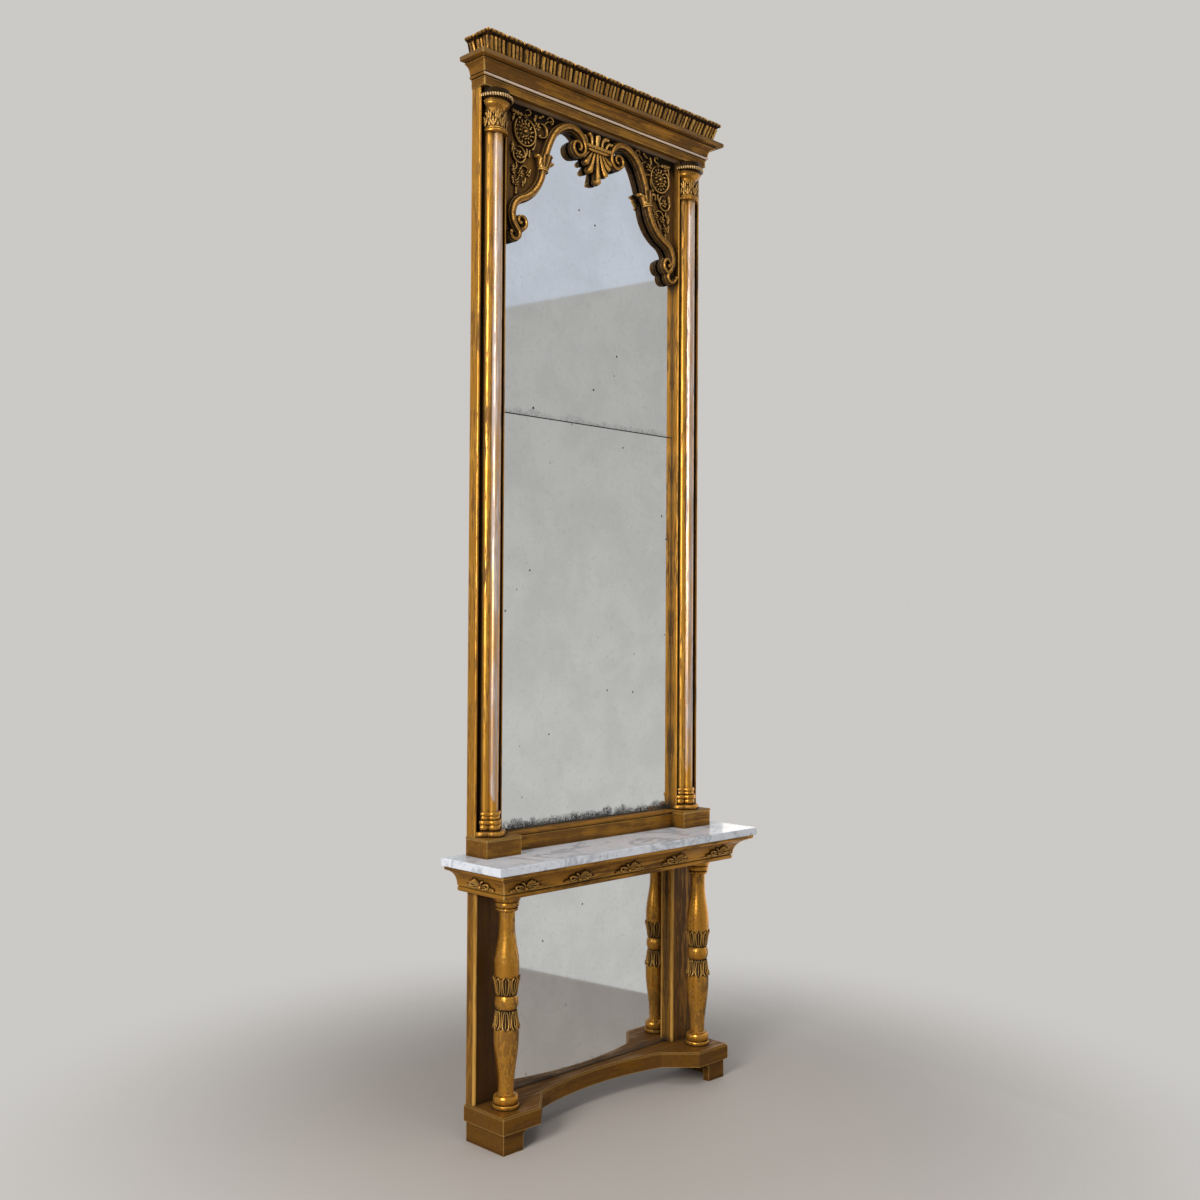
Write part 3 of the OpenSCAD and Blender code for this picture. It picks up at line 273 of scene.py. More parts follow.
def veinedMarble(name):
    look = marbleLook
    g = Graph(name)
    where = g.place(turn=look["turn"])
    vein = abs(g.noise(where, look["veins"], 5, 0.6, 1.4) - 0.5)
    thinVein = abs(g.noise(where, look["thinVeins"], 6, 0.65, 2.2) - 0.5)
    cloud = g.noise(where, look["clouds"], 4, 0.6)
    tone = g.mix(g.step(cloud, 0.38, 0.66, 0.0, 0.6), look["pale"], look["grey"])
    tone = g.mix(g.step(vein, 0.0, 0.045, 0.5, 0.0), tone, look["vein"])
    tone = g.mix(g.step(thinVein, 0.0, 0.016, 0.42, 0.0), tone, look["thinVein"])
    return g.finish(colour=tone, rough=0.16, coat=0.3, coatRough=0.08)


woodLook = {"dark": (0.24, 0.14, 0.07), "light": (0.38, 0.25, 0.14), "line": (0.12, 0.065, 0.03),
            "grain": {"x": (0.05, 1, 1), "z": (1, 1, 0.05)}, "lines": 120, "broad": 26}


def bareWood(name, along):
    look = woodLook
    g = Graph(name)
    grain = g.place(look["grain"][along])
    lines = g.noise(grain, look["lines"], 5, 0.65, 0.5)
    broad = g.noise(grain, look["broad"], 3, 0.6)
    tone = g.mix(g.step(broad, 0.35, 0.65), look["dark"], look["light"])
    tone = g.mix(g.step(lines, 0.45, 0.7, 0.0, 0.55), tone, look["line"])
    return g.finish(colour=tone, rough=0.72, normal=g.bump(lines, 0.3, 0.0008))


# the places are heights over the cornice's foot, in metres
corniceTone = {"astragal": (0.0275, 0.0355), "pale": (0.72, 0.56, 0.43),
               "dust": (0.074, 0.09), "dusty": (0.125, 0.085, 0.048)}


def corniceDustAndSheen(g, tone, streaks, fine):
    # a pale band is painted on the front of the astragal as a reflected highlight, and dust lies on the corona
    foot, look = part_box("cornice_front")[0].z, corniceTone
    first, last = look["astragal"]
    pale = g.between("Z", foot + first, foot + last, 0.0006) * g.facing((0, -1, 0), 0.1, 0.5)
    first, last = look["dust"]
    dust = g.between("Z", foot + first, foot + last, 0.002)
    tone = g.mix(pale * g.step(streaks, 0.36, 0.5, 0.45, 0.9), tone, look["pale"])
    return g.mix(dust * g.step(streaks * 0.5 + fine * 0.5, 0.36, 0.6, 0.25, 0.6), tone, look["dusty"])


# dark is a painted shadow on the upright fronts, and bead is the leaf of the arris beads, painted bright as a
# highlight
uprightTone = {"dark": (0.042, 0.018, 0.005), "bead": (0.62, 0.34, 0.07), "beadWidth": 0.009}


def uprightShadowAndBeadGlints(g, tone, streaks, fine):
    # the fronts of the uprights get a painted shadow, weaker on the right one, and the beads at their arrises
    # keep their leaf, painted bright as highlights
    look, wide = uprightTone, uprightTone["beadWidth"]
    lit = g.between("X", 0.1, 1.0, 0.1)
    tone = g.mix(g.facing((0, -1, 0), 0.6, 0.9) * (0.85 - 0.45 * lit), tone, look["dark"])
    for node in paired("upright"):
        low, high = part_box(node)
        for first, last in ((low.x, low.x + wide), (high.x - wide, high.x)):
            share = g.between("X", first, last, 0.001) * g.between("Y", low.y, low.y + wide, 0.001)
            tone = g.mix(share * g.step(streaks, 0.38, 0.5, 0.3, 0.75), tone, look["bead"])
    return tone


# the painted reflection on the front lobe of each column
lobeTone = {"pale": (0.46, 0.385, 0.35), "share": 0.85, "foot": (0.03, 0.07), "head": 0.03, "ragged": 0.22}


def paintedLobeReflection(g, tone, streaks, fine):
    # a pinkish silver reflection is painted on the front lobe of each column
    look = lobeTone
    x, y, z = (g.axis(letter) for letter in "XYZ")
    lobe = 0.0
    for node in paired("column_shaft"):
        low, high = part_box(node)
        lobe = g.step(high.y - y - abs(x - (low.x + high.x) / 2), 0.0, 0.0025) + lobe
    ragged = z + look["ragged"] * (0.5 - g.noise(g.place((1, 1, 0.2)), 60, 4, 0.6))
    foot, over = look["foot"]
    lobe = lobe * g.step(ragged, low.z + foot, low.z + over)
    lobe = lobe * g.step(ragged, high.z - look["head"], high.z, 1.0, 0.25)
    share = lobe * g.step(streaks * 0.75 + fine * 0.25, 0.38, 0.56, 0.25, 1.0)
    return g.mix(share * look["share"], tone, look["pale"])


def paintedTopShadow(node, low, high):
    # painted shadow under the cornice lies near the top of a node, from low to high metres under it
    def extra(g, tone, streaks, fine):
        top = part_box(node)[1].z
        share = g.step(g.axis("Z") + fine * 0.01, top - low, top - high, 0.0, 0.96)
        return g.mix(share, tone, gildLook["glazeAndShade"])
    return extra


def paired(*names):
    return [f"{name}_{side}" for name in names for side in ("left", "right")]


flatWear = {"wear": 0.84, "blur": 0.058, "spread": (0.48, 0.14, 0.38), "gloss": 0.07}    # of flat faces
corniceWear = {"extra": corniceDustAndSheen, "rubbed": 0.75, "reach": 0.04, "bareFrom": -1.0,
               "golds": ((0.31, 0.14, 0.019), (0.50, 0.24, 0.038)), **flatWear}
gildings = {
    "gildAcross": {"along": "x", **flatWear},
    "gildDeep": {"along": "y", **flatWear},
    "gildRail": {"along": "x", "golds": ((0.27, 0.122, 0.016), (0.43, 0.205, 0.032)), "rubbed": 0.75,
                 **flatWear},
    "gildBase": {"along": "x", "golds": ((0.20, 0.088, 0.011), (0.40, 0.19, 0.028)), "rubbed": 0.85,
                 "edge": 0.6, "edgeReach": 0.004, **flatWear},
    "gildStile": {"along": "z", "rubbed": 0.5, "reach": 0.05},
    "gildWorn": {"along": "z", "golds": ((0.36, 0.165, 0.022), (0.56, 0.275, 0.044)), "extra": uprightShadowAndBeadGlints,
                 "rubbed": 0.8, "edge": 0.6, "edgeReach": 0.004},
    "gildTurned": {"along": "soft", "golds": ((0.46, 0.21, 0.028), (0.80, 0.40, 0.066)), "reach": 0.022,
                   "rough": 0.22, "metal": 0.78, "spread": (0.42, 0.18, 0.40), "wear": 0.8},
    # painted shadow under the cornice darkens the tops of the capitals
    "gildBell": {"golds": ((0.36, 0.165, 0.022), (0.54, 0.265, 0.042)), "rubbed": 0.5, "rough": 0.24,
                 "metal": 0.75, "extra": paintedTopShadow("capital_left", 0.032, 0.024)},
    "gildShaft": {"along": "z", "golds": ((0.50, 0.235, 0.032), (0.74, 0.38, 0.066)), "extra": paintedLobeReflection,
                  "rubbed": 0.5, "reach": 0.05, "rough": 0.28, "metal": 0.7},
    # the spandrel panel: darker leaf for painted shade, and painted shadow under the cornice at its top
    "gildPanel": {"along": "z", "golds": ((0.19, 0.088, 0.014), (0.30, 0.145, 0.024)), "rubbed": 0.9,
                  "reach": 0.05, "extra": paintedTopShadow("spandrel_panel", 0.065, 0.010)},
    "gildCarved": {"golds": ((0.32, 0.145, 0.020), (0.54, 0.265, 0.044)), "rubbed": 0.45, "reach": 0.012,
                   "edge": 0.3, "edgeReach": 0.0012, "carved": (0.25, 0.8), "crest": 0.5},
    "gildSpray": {"golds": ((0.22, 0.100, 0.014), (0.48, 0.235, 0.036)), "rubbed": 0.6, "reach": 0.014,
                  "edge": 0.2, "edgeReach": 0.0012, "carved": (0.45, 1.0), "crest": 0.45},
    "gildLeaf": {"golds": ((0.24, 0.107, 0.016), (0.46, 0.22, 0.035)), "rubbed": 0.5, "reach": 0.010,
                 "edge": 0.3, "edgeReach": 0.0012, "carved": (0.42, 1.0), "crest": 0.35},
    "gildArch": {"golds": ((0.38, 0.175, 0.025), (0.66, 0.33, 0.055)), "rubbed": 0.6, "reach": 0.016,
                 "edge": 0.3, "edgeReach": 0.0015, "carved": (0.4, 1.0), "crest": 0.16},
    "gildCrest": {"along": "z", "golds": ((0.33, 0.15, 0.020), (0.68, 0.345, 0.056)), "rubbed": 0.5,
                  "reach": 0.008, "edge": 0.2, "edgeReach": 0.0015, "carved": (0.35, 0.95), "crest": 0.35},
    # the capital beads: pale leaf, painted as a reflection of bright light
    "gildPale": {"golds": ((0.34, 0.22, 0.11), (0.46, 0.34, 0.21)), "rubbed": 0.3, "reach": 0.006,
                 "carved": (0.05, 0.6)},
    "gildShadow": {"along": "z", "golds": ((0.010, 0.005, 0.002), (0.030, 0.014, 0.004)), "edge": 0.0,
                   "reach": 0.012, "gloss": 0.03, "bareFrom": -1.0},
    "gildCornice": {"along": "x", **corniceWear},
    "gildCorniceDeep": {"along": "y", **corniceWear},
}
finishes = {name: gilding(name, **look) for name, look in gildings.items()}
finishes |= {
    "mirrorConsole": agedMirror("mirrorConsole", "console_mirror", "base_slab", "upright_right", 0.3),
    "mirrorLower": agedMirror("mirrorLower", "lower_mirror_plate", "bottom_rail", "stile_right"),
    "mirrorUpper": agedMirror("mirrorUpper", "upper_mirror_plate", None, "stile_right", 0.2),
    "marble": veinedMarble("veinedMarble"),
    "wood": bareWood("bareWood", "x"),
    "woodUp": bareWood("bareWoodUp", "z"),
}

# the CAD nodes of each finish; any other is turned, or replaced below by its carving
finishNodes = {
    "gildBase": ["base_slab", *paired("foot")],
    "gildWorn": paired("upright"),
    "gildAcross": ["apron_front"],
    "gildDeep": paired("apron"),
    "gildRail": ["bottom_rail", *paired("plinth", "plinth_cap")],
    "gildStile": paired("stile"),
    "gildShaft": paired("column_shaft"),
    "gildBell": paired("capital"),
    "gildPanel": ["spandrel_panel"],
    "mirrorConsole": ["console_mirror"],
    "mirrorLower": ["lower_mirror_plate"],
    "mirrorUpper": ["upper_mirror_plate"],
    "marble": ["marble_top"],
    "wood": ["apron_soffit", "apron_back", "top_rail", "cornice_soffit", "dust_board"],
    "woodUp": ["console_back_board", "back_board"],
}
nodeFinish = {node: finish for finish, nodes in finishNodes.items() for node in nodes}

for nodeName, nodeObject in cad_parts.items():
    nodeObject.data.materials.clear()
    nodeObject.data.materials.append(finishes[nodeFinish.get(nodeName, "gildTurned")])
print("finishes given to the nodes")


millimetre = 0.001
sides = (("left", -1), ("right", 1))


def mirrored(half, *crown):
    return half + list(crown) + [(-across, height, tone) for across, height, tone in reversed(half)]


# sections are (across, height, tone): the tone is 0 where old glaze and painted shade lie, and 1 on a crest,
# which can get a painted highlight
roundSection = [(math.cos(math.pi * i / 10), math.sin(math.pi * i / 10)) for i in range(11)]
# the arch moulding: a roll between grooves, and fillets beside them
bandSection = mirrored([(1, 0, 0), (1, 0.42, 0.25), (0.97, 0.50, 0.75), (0.86, 0.51, 0.75), (0.82, 0.45, 0),
                        (0.76, 0.46, 0), (0.74, 0.62, 0.1), (0.68, 0.78, 0.5), (0.52, 0.92, 1),
                        (0.27, 0.985, 0.8)], (0, 1, 0.65))
# a rib with an undercut round its foot
ribSection = mirrored([(1, 0, 0), (1, 0.2, 0.7), (0.85, 0.27, 0.3), (0.72, 0.32, 0), (0.72, 0.5, 0),
                       (0.9, 0.6, 0.3), (0.95, 0.72, 0.8), (0.72, 0.9, 1), (0.38, 0.98, 1)], (0, 1, 0.9))
# the lower layer of the shell, with upright sides
backSection = mirrored([(1, 0, 0.5), (1, 0.7, 0.9), (0.92, 0.95, 0.6), (0.7, 1, 0)])


def leafSection(ribs, crown=0.35, thick=0.4):
    # a thin blade with ribs along it: its face from one edge to the other, then its back
    steps = 4 * ribs
    across = [1 - 2 * i / steps for i in range(steps + 1)]
    rib = [0.5 + 0.5 * math.cos(math.pi * ribs * a) for a in across]
    face = [(a, crown * (1 - a * a) + r, r) for a, r in zip(across, rib)]
    return face + [(a, crown * (1 - a * a) - thick, 0) for a in reversed(across)]


def graded(count, *stops):
    # values for the points of a line, straight between (share, value) stops
    values = []
    for i in range(count):
        share = i / (count - 1)
        later = next(k for k in range(1, len(stops)) if share <= stops[k][0] + 1e-9)
        (a, first), (b, second) = stops[later - 1], stops[later]
        values.append(first + (second - first) * (share - a) / (b - a))
    return values


def rounded(count, *stops, end=0.12):
    # the same, with both ends rounded off to nothing
    values = graded(count, *stops)
    for i in range(count):
        share = min(i, count - 1 - i) / (count - 1) / end
        values[i] *= math.sqrt(max(0, 1 - (1 - min(share, 1)) ** 2))
    return values


def ray(degrees):
    # the unit vector with that heading
    return Vector((math.cos(math.radians(degrees)), math.sin(math.radians(degrees))))


def scroll(start, heading, length, bends, count=18):
    # a line whose heading turns by the polynomial bends, in degrees
    line = [Vector(start)]
    for i in range(count):
        share = (i + 0.5) / count
        turn = sum(bend * share ** (k + 1) for k, bend in enumerate(bends))
        line.append(line[-1] + ray(heading + turn) * length / count)
    return line


def ringArc(centre, radius, first, last, count=24):
    return [Vector(centre) + ray(first + (last - first) * i / count) * radius for i in range(count + 1)]


def walk(start, heading, arcs, step=5):
    # tangent arcs, each with a radius and a turn in degrees
    line = [Vector(start)]
    for radius, turn in arcs:
        back = 90 if turn > 0 else -90
        count = max(3, round(abs(turn) / step * max(1, radius / 90)))
        centre = line[-1] + ray(heading + back) * radius
        line += ringArc(centre, radius, heading - back, heading - back + turn, count)[1:]
        heading += turn
    return line


def addObject(name, mesh):
    data = bpy.data.meshes.new(name)
    mesh.to_mesh(data)
    mesh.free()
    made = bpy.data.objects.new(name, data)
    bpy.context.collection.objects.link(made)
    return made


class Carving:
    # one piece made of closed shells, drawn in millimetres
    def __init__(self):
        self.mesh = bmesh.new()
        self.relief = self.mesh.verts.layers.float.new("relief")

    def patch(self, across, along, place, shade=None):
        # shade is 0 in the depth of the carving, where old glaze and painted shade lie, and 1 on its crests,
        # which can get a painted highlight
        made = bmesh.ops.create_grid(self.mesh, x_segments=across, y_segments=along, size=1)
        for vert in made["verts"]:
            u, v = (vert.co.x + 1) / 2, (vert.co.y + 1) / 2
            vert.co = place(u, v)
            vert[self.relief] = shade(u, v) if shade else 1.0

    def stroke(self, line, halves, heights, put, base=0.0, section=roundSection, tone=1.0):
        # draws a section along a line; put turns sideways, forward and height into a place
        around, last = len(section), len(line) - 1
        bases = base if isinstance(base, list) else [base] * (last + 1)

        def place(u, v):
            i, j = round(u * around) % around, round(v * last)
            ahead = (line[min(j + 1, last)] - line[max(j - 1, 0)]).normalized()
            spot = line[j] + Vector((-ahead.y, ahead.x)) * section[i][0] * halves[j]
            return put(spot.x, spot.y, bases[j] + section[i][1] * heights[j])

        def shade(u, v):
            return section[round(u * around) % around][-1] * tone
        self.patch(around, last, place, shade)

    def rib(self, line, wide, tall, put, base=0.0, section=roundSection, tone=1.0, ends=(0.12, 0.12)):
        # a stroke with rounded ends; wide and tall are (share, value) stops of its half width and height
        halves = rounded(len(line), *wide, end=ends[0])
        self.stroke(line, halves, rounded(len(line), *tall, end=ends[1]), put, base, section, tone)

    def dome(self, at, radius, height, put, base=0.0, squash=1.0, lean=0.0):
        # a round boss, its flat back closed
        turn, slope = 2 * math.pi, math.radians(lean)

        def place(u, v):
            rise = min(v / 0.8, 1) * math.pi / 2
            reach = radius * (math.sin(rise) if v <= 0.8 else (1 - v) / 0.2)
            x, y = reach * math.cos(turn * u), reach * squash * math.sin(turn * u)
            return put(at[0] + x * math.cos(slope) - y * math.sin(slope),
                       at[1] + x * math.sin(slope) + y * math.cos(slope),
                       base + height * (math.cos(rise) if v <= 0.8 else 0))
        self.patch(14, 5, place, lambda u, v: math.cos(min(v / 0.8, 1) * math.pi / 2) ** 0.6)

    def petals(self, at, count, near, far, half, height, put, first=0.0):
        for k in range(count):
            angle = first + 360 * k / count
            line = scroll(Vector(at) + ray(angle) * near, angle, far - near, [0], 6)
            self.rib(line, [(0, half * 0.5), (0.7, half), (1, half)], [(0, height * 0.6), (1, height)], put,
                     ends=(0.25, 0.25))

    def frond(self, line, half, height, put, lobes=3):
        # a stem with pairs of lobes, as on a carved leaf
        self.rib(line, [(0, half * 0.35), (0.6, half * 0.45), (1, half * 0.3)],
                 [(0, height * 0.8), (1, height)], put)
        for k in range(lobes):
            j = int((len(line) - 3) * (k + 0.6) / lobes)
            ahead = math.degrees(math.atan2(*(line[j + 1] - line[j]).yx))
            reach = half * (1.25 - 0.55 * abs(2 * (k + 0.5) / lobes - 0.9))
            for side in (-1, 1):
                lobe = scroll(line[j], ahead + side * 62, reach, [-side * 70], 7)
                self.rib(lobe, [(0, reach * 0.2), (0.6, reach * 0.3), (1, reach * 0.22)],
                         [(0, height * 0.55), (0.7, height * 0.85), (1, height * 0.7)], put, ends=(0.3, 0.2))

    def finish(self, name, finish, *nodes):
        mesh = self.mesh
        bmesh.ops.remove_doubles(mesh, verts=mesh.verts, dist=0.02)
        bmesh.ops.dissolve_degenerate(mesh, edges=mesh.edges, dist=0.01)
        bmesh.ops.recalc_face_normals(mesh, faces=mesh.faces)
        bmesh.ops.scale(mesh, verts=mesh.verts, vec=(millimetre,) * 3)
        for face in mesh.faces:
            face.smooth = True
        piece = addObject(name, mesh)
        piece.data.set_sharp_from_angle(angle=math.radians(58))
        piece.data.materials.append(finishes[finish])
        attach(piece, "root")
        if nodes:
            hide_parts(*nodes)


def corners(node):
    # lowest and highest corner of a CAD node, in millimetres
    return tuple(Vector(corner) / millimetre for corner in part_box(node))


backY = corners("stile_right")[1].y


def roundBody(axis, foot, turn, reach, way=1):
    # puts (across, along, height) on a round body: height is the radius, across runs round it
    def put(across, along, height):
        angle = math.radians(turn) + across / reach
        x, y = axis.x + height * math.cos(angle), axis.y + height * math.sin(angle)
        return Vector((x, y, foot + way * along))
    return put


def climb(look, foot, mouth, share):
    # how far out a leaf stands at a share of its length: it flares, and its tip curls
    return foot + (mouth - foot) * share ** 1.4 + look["curl"] * max(0, share - 0.75) / 0.25


# broad leaves on a dark liner of painted shade; "between" is the look of the leaves in their gaps
leafLook = {"count": 8, "shadowLiner": 28.5, "foot": 29.0, "mouth": 35.5, "half": 12.0, "rib": 2.7, "relief": 4.6,
            "vein": 1.4, "curl": 3.2,
            "between": {"half": 9, "rib": 0, "relief": 3.4, "vein": 1.8, "curl": 2.2,
                        "share": 0.95, "inset": 1.5}}


def rimmedLeaf(carving, put, length, foot, mouth, look, steps=12):
    # a broad leaf with a rounded tip that climbs a round body: a blade in shade, its raised rim and vein
    shares = [i / steps for i in range(steps + 1)]
    base = [climb(look, foot, mouth, share) for share in shares]
    tall, wide = look["relief"], look["half"]
    halves = rounded(steps + 1, (0, wide * 0.65), (0.6, wide), (1, wide), end=0.3)
    blade = [Vector((0, length * share)) for share in shares]
    carving.stroke(blade, halves, [tall * 0.4] * (steps + 1), put, base, roundSection, 0.3)
    for way, half, reach in ((-1, look["rib"], 0.985), (0, look["vein"], 0.9), (1, look["rib"], 0.985)):
        if half:
            line = [Vector((way * across * 0.78, length * share * reach))
                    for across, share in zip(halves, shares)]
            carving.rib(line, [(0, half * 0.5), (0.6, half), (1, half)], [(0, tall * 0.7), (1, tall)],
                        put, base, ends=(0.08, 0.08))


def openLeaf(carving, put, length, foot, mouth, look, steps=12):
    # a leaf of separate lobes that climbs a round body and turns out at its tips
    outer, half, relief = look["lobes"] // 2, look["half"], look["relief"]
    for lobe in range(-outer, outer + 1):
        tall = length * (1 - look["shorter"] * abs(lobe))
        line, base = [], []
        for i in range(steps + 1):
            share = i / steps
            line.append(Vector((look["spread"] * lobe * math.sin(share * math.pi / 2), tall * share)))
            base.append(climb(look, foot, mouth, share))
        carving.rib(line, [(0, half * 0.35), (0.6, half * 0.85), (1, half)],
                    [(0, relief * 0.5), (0.7, relief), (1, relief * 0.9)], put, base, ends=(0.22, 0.1))


def shadowLiner(carving, put, reach, length, foot, mouth):
    # a dark sheet behind the leaves, painted shade in their gaps, closed over the body
    def place(u, v):
        rise = min(max(v * 1.5 - 0.25, 0), 1)
        radius = foot + (mouth - foot) * rise ** 1.4
        return put(reach * 2 * math.pi * u, length * rise, radius if 0.1 < v < 0.9 else foot - 4)
    carving.patch(48, 12, place, lambda u, v: 0.0)


def makeBalusterLeaves(side, part):
    node, look = f"leaf_{part}_{side}", leafLook
    low, high = corners(node)
    length, gap, mouth = high.z - low.z, look["between"], look["mouth"]
    start, way = (low.z, 1) if part == "cup" else (high.z, -1)
    carving = Carving()

    def turned(turn):
        return roundBody((low + high) / 2, start, turn, mouth, way)
    shadowLiner(carving, turned(0), mouth, length * 0.9, look["shadowLiner"], mouth - gap["inset"])
    for k in range(look["count"]):
        turn = 360 * k / look["count"] - 90
        rimmedLeaf(carving, turned(turn), length, look["foot"], mouth, look)
        rimmedLeaf(carving, turned(turn + 180 / look["count"]), length * gap["share"], look["foot"],
                   mouth - gap["inset"], gap)
    carving.finish(f"balusterLeaves_{part}_{side}", "gildCarved", node)


for side, _ in sides:
    for part in ("cup", "collar"):
        makeBalusterLeaves(side, part)
print("baluster leaves carved")


# a bud is (share of the height, radius, relief)
capitalLook = {
    "lower": {"lobes": 3, "spread": 8.2, "half": 5.2, "relief": 4.6, "curl": 4.0, "shorter": 0.16},
    "upper": {"lobes": 3, "spread": 6.4, "half": 4.4, "relief": 3.6, "curl": 3.4, "shorter": 0.14},
    "count": 8, "foot": 31.8, "mouth": 35.0, "lowerShare": 0.56, "bud": (0.78, 3.6, 4.5), "axisDepth": 32.0,
    "beads": 22, "beadR": 4.0, "beadOut": 3.6, "beadSunk": 2.4, "ringDrop": 23.5,
}


def makeCapitalCarving(side):
    node, look = f"capital_leaves_{side}", capitalLook
    low, high = corners(node)
    capLow, capHigh = corners(f"capital_{side}")
    axis = Vector(((capLow.x + capHigh.x) / 2, backY - look["axisDepth"], 0))
    tall, foot, mouth = high.z - low.z, look["foot"], look["mouth"]
    budShare, budR, budRelief = look["bud"]
    leaves = Carving()
    for k in range(2 * look["count"]):
        turn = 180 * k / look["count"] - 90
        if math.sin(math.radians(turn)) > 0.1:
            continue
        put = roundBody(axis, low.z, turn, mouth)
        if k % 2:
            openLeaf(leaves, put, tall, foot, mouth, look["upper"])
        else:
            openLeaf(leaves, put, tall * look["lowerShare"], foot + 2, mouth + 1, look["lower"])
            bud = roundBody(axis, low.z + tall * budShare, turn, mouth)
            leaves.dome((0, 0), budR, budRelief, bud, foot, 1.5)
    leaves.finish(f"capitalLeaves_{side}", "gildLeaf", node)
    crown = Carving()
    radius = (capHigh.x - capLow.x) / 2
    for k in range(look["beads"]):
        put = roundBody(axis, capHigh.z - look["ringDrop"], -180 * (k + 0.5) / look["beads"], radius)
        crown.dome((0, 0), look["beadR"], look["beadOut"], put, radius - look["beadSunk"], 1.5, 25)
    crown.finish(f"capitalBeads_{side}", "gildPale")


for side, _ in sides:
    makeCapitalCarving(side)
print("capitals carved")


# in millimetres, with places from the middle of the head; an arc is (radius, turn in degrees), and span
# is the half width that the places are drawn for
archLook = {
    "arcs": [(57, -104), (112, -47), (347, -20), (138, 60), (58, -118)],
    "footArcs": [(19, 228)],
    "curlArcs": [(22, -130), (16, -110), (9, -120)],
    "volute": (91, -75), "voluteR": 31, "eyeR": 9, "voluteTurn": 420,
    "half": 13.5, "relief": 29, "curlRelief": 32, "curlRoot": (-8, -1),
    "heart": 6.5, "cuff": (240, -192), "cuffLean": 12, "span": 393,
}
headZ = corners("stile_right")[1].z
panelY = corners("spandrel_panel")[0].y
spanShare = corners("stile_right")[0].x / archLook["span"]


def headPut(sign):
    # points of the head: distance from the middle, height from the head, and relief over the panel
    def put(x, y, d):
        return Vector((sign * x * spanShare, panelY - d, headZ + y))
    return put


def archLines():
    look = archLook
    centre, reach = Vector(look["volute"]), look["voluteR"] - look["eyeR"]
    volute = []
    for i in range(61):
        out = ray(180 + look["voluteTurn"] * (1 - i / 60))
        volute.append(centre + out * (look["eyeR"] + reach * (i / 60)))
    arch = walk(centre - Vector((look["voluteR"], 0)), 90, look["arcs"])
    heading = 90 + sum(turn for _, turn in look["arcs"])
    foot = walk(arch[-1], heading, look["footArcs"], 8)
    curl = walk(arch[-1] + Vector(look["curlRoot"]), 180, look["curlArcs"], 8)
    return volute, arch, foot, curl


def makeArch(side, sign):
    look, put, carving = archLook, headPut(sign), Carving()
    volute, arch, foot, curl = archLines()

    def band(line, halves, relief):
        # the moulding along a line, with its ends closed
        carving.stroke(line[:1] + line + line[-1:], [0] + halves + [0], [relief] * (len(line) + 2),
                       put, 0, bandSection)
    last = len(arch) - 1
    halves = graded(len(volute), (0, 4.6), (1, 7.2))
    halves += [look["half"] * min(1, 0.55 + 0.03 * i, 0.72 + 0.02 * (last - i)) for i in range(1, last + 1)]
    halves += graded(len(foot), (0, 9.2), (1, 5))[1:]
    band(volute + arch[1:] + foot[1:], halves, look["relief"])
    band(curl, graded(len(curl), (0, 8), (1, 4.5)), look["curlRelief"])
    carving.dome(volute[0], look["heart"] * 0.8, 4, put, look["relief"] - 4)
    for eye in (foot[-1], curl[-1]):
        carving.dome(eye, look["heart"], 5, put, look["relief"] - 3)
    carving.finish(f"archMoulding_{side}", "gildArch", f"arch_moulding_{side}")


def cuffPlace(sign):
    # points of a leaning cuff: across it, along it, and relief over the panel
    head, out, up = headPut(sign), ray(archLook["cuffLean"]), ray(archLook["cuffLean"] + 90)

    def put(across, along, d):
        spot = Vector(archLook["cuff"]) + out * across + up * along
        return head(spot.x, spot.y, d)
    return put


def cuffRound(sign, turn, lift=0):
    # the same for what lies round the arch moulding, where height is the radius
    flat, middle = cuffPlace(sign), archLook["relief"] / 2

    def put(across, along, height):
        angle = math.radians(turn) + across / cuffLook["reach"]
        return flat(height * math.cos(angle), along + lift, middle + height * math.sin(angle))
    return put


def roundLeaf(carving, put, length, half, curl, look, count=14):
    # one leaf that climbs a round body and rolls outwards at its tip
    line, base, turn = [], [], look["rollFrom"]
    foot, mouth = look["leafFoot"], look["mouth"]
    for i in range(count + 1):
        share = i / count
        rise = min(share, turn) / turn
        over = max(0, share - turn) / (1 - turn) * math.radians(120)
        line.append(Vector((0, length * rise * 0.86 + curl * math.sin(over))))
        base.append(foot + (mouth - foot) * math.sin(rise * math.pi / 2) ** 1.5 + curl * (1 - math.cos(over)))
    halves = rounded(count + 1, (0, half * 0.75), (0.4, half * 0.85), (0.75, half), (1, half * 0.95), end=0.2)
    relief = graded(count + 1, (0, look["relief"] * 0.6), (0.6, look["relief"]), (1, look["relief"] * 0.7))
    # where the tip rolls back, the line still creeps on
    for i in range(1, count + 1):
        line[i].y = max(line[i].y, line[i - 1].y + 0.05)
    carving.stroke(line, halves, relief, put, base, leafSection(look["ribs"]))


# a ring is (foot, height, radius), and a leaf (turn in degrees, length, half width, curl)
cuffLook = {
    "rings": ((0, 6, 18.5), (7, 4, 17)), "reach": 18, "lift": 9,
    "leaves": ((90, 42, 15, 5), (26, 30, 7, 3), (154, 30, 7, 3)),
    "ribs": 2, "relief": 2.4, "leafFoot": 15.2, "mouth": 20.5, "rollFrom": 0.72,
    "horn": {"foot": (13, 6), "lean": 2, "length": 47, "bends": (-14, 0, -100), "base": 4, "height": 21,
             "halves": [(0, 5), (0.45, 7.5), (0.8, 5), (1, 5)], "knob": 6.2},
}


